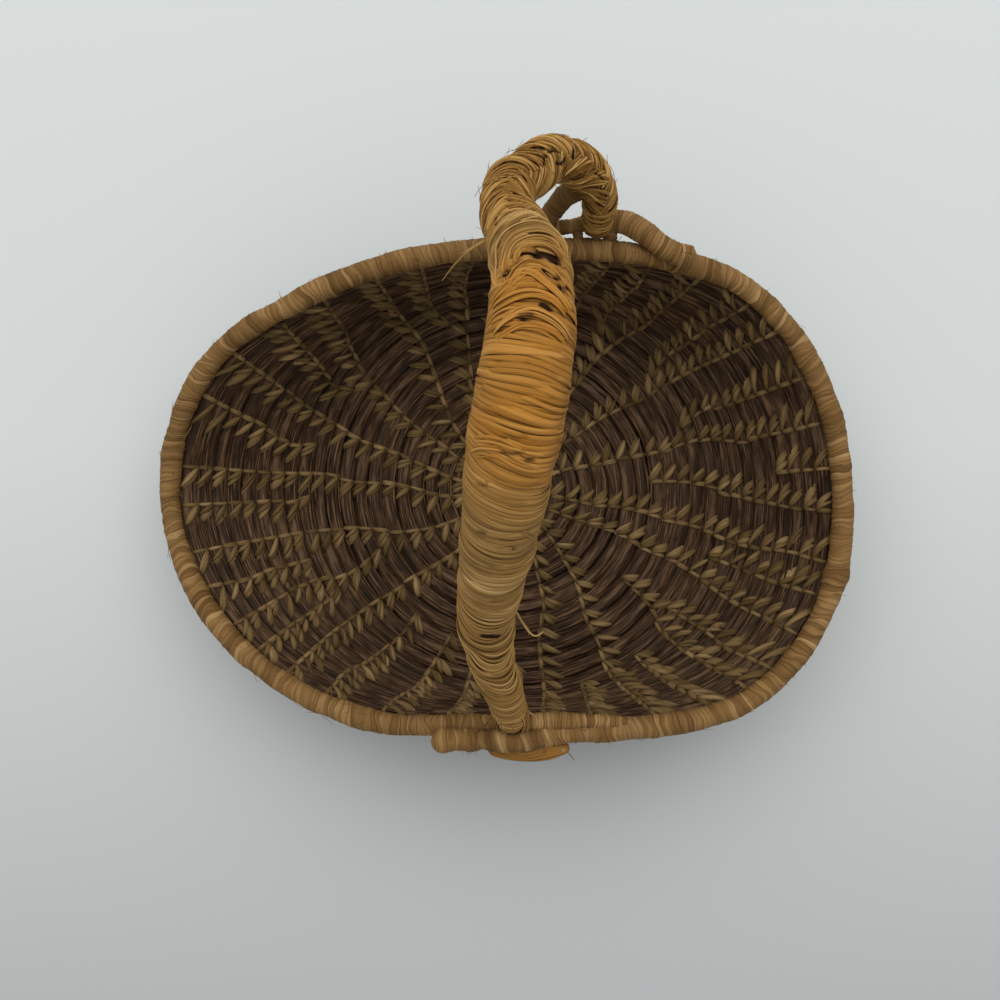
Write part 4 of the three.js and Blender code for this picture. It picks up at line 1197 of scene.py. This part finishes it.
def groove_needles(name, seed):
    """A thin bundle of needles in the groove between the last row and the rim, darkened with painted shade.
    """
    turned = np.linspace(0, 0.995, 900)
    angle = START_ANGLE - TURN * turned
    middle = off_bowl(angle, rim_row(turned) - RIM_RADIUS - 0.25, 0, 0)
    away = np.stack([-np.cos(angle), -np.sin(angle), 1 + 0 * angle], -1)
    strands(name, middle[None], away[None], NEEDLES, "pine_needle", width=0.9, thick=0.9, sides=8, seed=seed,
            depth=0.5)


groove_needles("groove_needles", seed=107)


def fuzz(name, path, material, slot, span, count, seed):
    """Short loose fibres that stand off a winding, farther towards their ends."""
    rng = np.random.default_rng(seed)
    start = rng.uniform(*span, (count, 1))
    t = np.linspace(0, 1, 8)[None]
    angle = rng.uniform(-2.4, 2.4, (count, 1)) + rng.normal(0, 0.5, (count, 1)) * t
    place = np.clip(start + rng.normal(0, 3.5, (count, 1)) * t, 0, path[0][-1])
    middle, off, radius = off_path(path, place, angle)
    lift = radius - 0.1 + rng.uniform(0.3, 1.6, (count, 1)) ** 1.5 * t ** 1.5
    strands(name, middle + off * lift[..., None], off, material, slot, width=0.11 * (1 - 0.6 * t), thick=0.09,
            sides=4, seed=seed, spread=0.3, depth=0, gold=0)


fuzz("rim_fuzz", rim_path, RIM_RAFFIA, "raffia_rim", span=(5, rim_length - 5), count=260, seed=108)
fuzz("hook_fuzz", handle_path, HOOK_RAFFIA, "raffia_handle", span=(FOLD_AT, handle_length - 4), count=150,
     seed=110)


# CAD pieces that stay, with their material

for stays in ("rim_core", "handle_core"):
    for material_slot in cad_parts[stays].material_slots:
        material_slot.material = NEEDLES


# Floor, light and camera, in metres

FLOOR_REACH = 30.0
FLOOR_BELOW = 0.0003
SENSOR_WIDTH = 36


def floor_material():
    """Plain pale grey board, with painted shadow that darkens it towards the front, and painted light that
    makes it paler far away.
    """
    made, tree, shader = new_material("studio_board")
    place = node(tree, "ShaderNodeTexCoord").outputs["Object"]
    # Painted shadow: the board darkens towards the front.
    front = node(tree, "ShaderNodeSeparateXYZ", {"Vector": place}).outputs["Y"]
    share = node(tree, "ShaderNodeMapRange", {"Value": front, "From Min": -0.24, "From Max": 0.02})
    near = node(tree, "ShaderNodeValToRGB", {"Fac": share.outputs["Result"]},
                stops=[(0.0, "#B5B8B8"), (1.0, "#D2D7D6")])
    # Painted light: the board turns paler far away, where the lamp's light has fallen off.
    distance = node(tree, "ShaderNodeVectorMath", {0: place}, operation="LENGTH").outputs["Value"]
    away = node(tree, "ShaderNodeMapRange", {"Value": distance, "From Min": 1.0, "From Max": 3.0})
    colour = layered(tree, near.outputs["Color"], (linear("#FFFFFF"), away.outputs["Result"]))
    tree.links.new(colour, shader.inputs["Base Color"])
    shader.inputs["Roughness"].default_value = 0.9
    return made


floor_corners = [(x * FLOOR_REACH, y * FLOOR_REACH, -FLOOR_BELOW)
                 for x, y in ((-1, -1), (1, -1), (1, 1), (-1, 1))]
floor_mesh = bpy.data.meshes.new("floor")
floor_mesh.from_pydata(floor_corners, [], [(0, 1, 2, 3)])
floor_mesh.materials.append(floor_material())
floor = placed("floor", floor_mesh)

world = bpy.data.worlds.new("pale_studio")
world.use_nodes = True
background = world.node_tree.nodes["Background"].inputs
background["Color"].default_value = linear("#FFFFFF")
background["Strength"].default_value = 0.55
bpy.context.scene.world = world

window_light = bpy.data.lights.new("window_light", "AREA")
window_light.shape = "RECTANGLE"
window_light.size, window_light.size_y = 2.4, 1.2
window_light.energy = 16.5
window = placed("window_light", window_light, (0, 0.75, 1.2))
window.rotation_euler = (math.radians(-32), 0, 0)

lens = bpy.data.cameras.new("camera")
lens.sensor_width = SENSOR_WIDTH
lens.lens = SENSOR_WIDTH * FOCAL_PIXELS / PHOTO_PIXELS
bpy.context.scene.camera = placed("camera", lens, [c * MM for c in CAMERA_AT])
bpy.context.scene.view_settings.view_transform = "Standard"
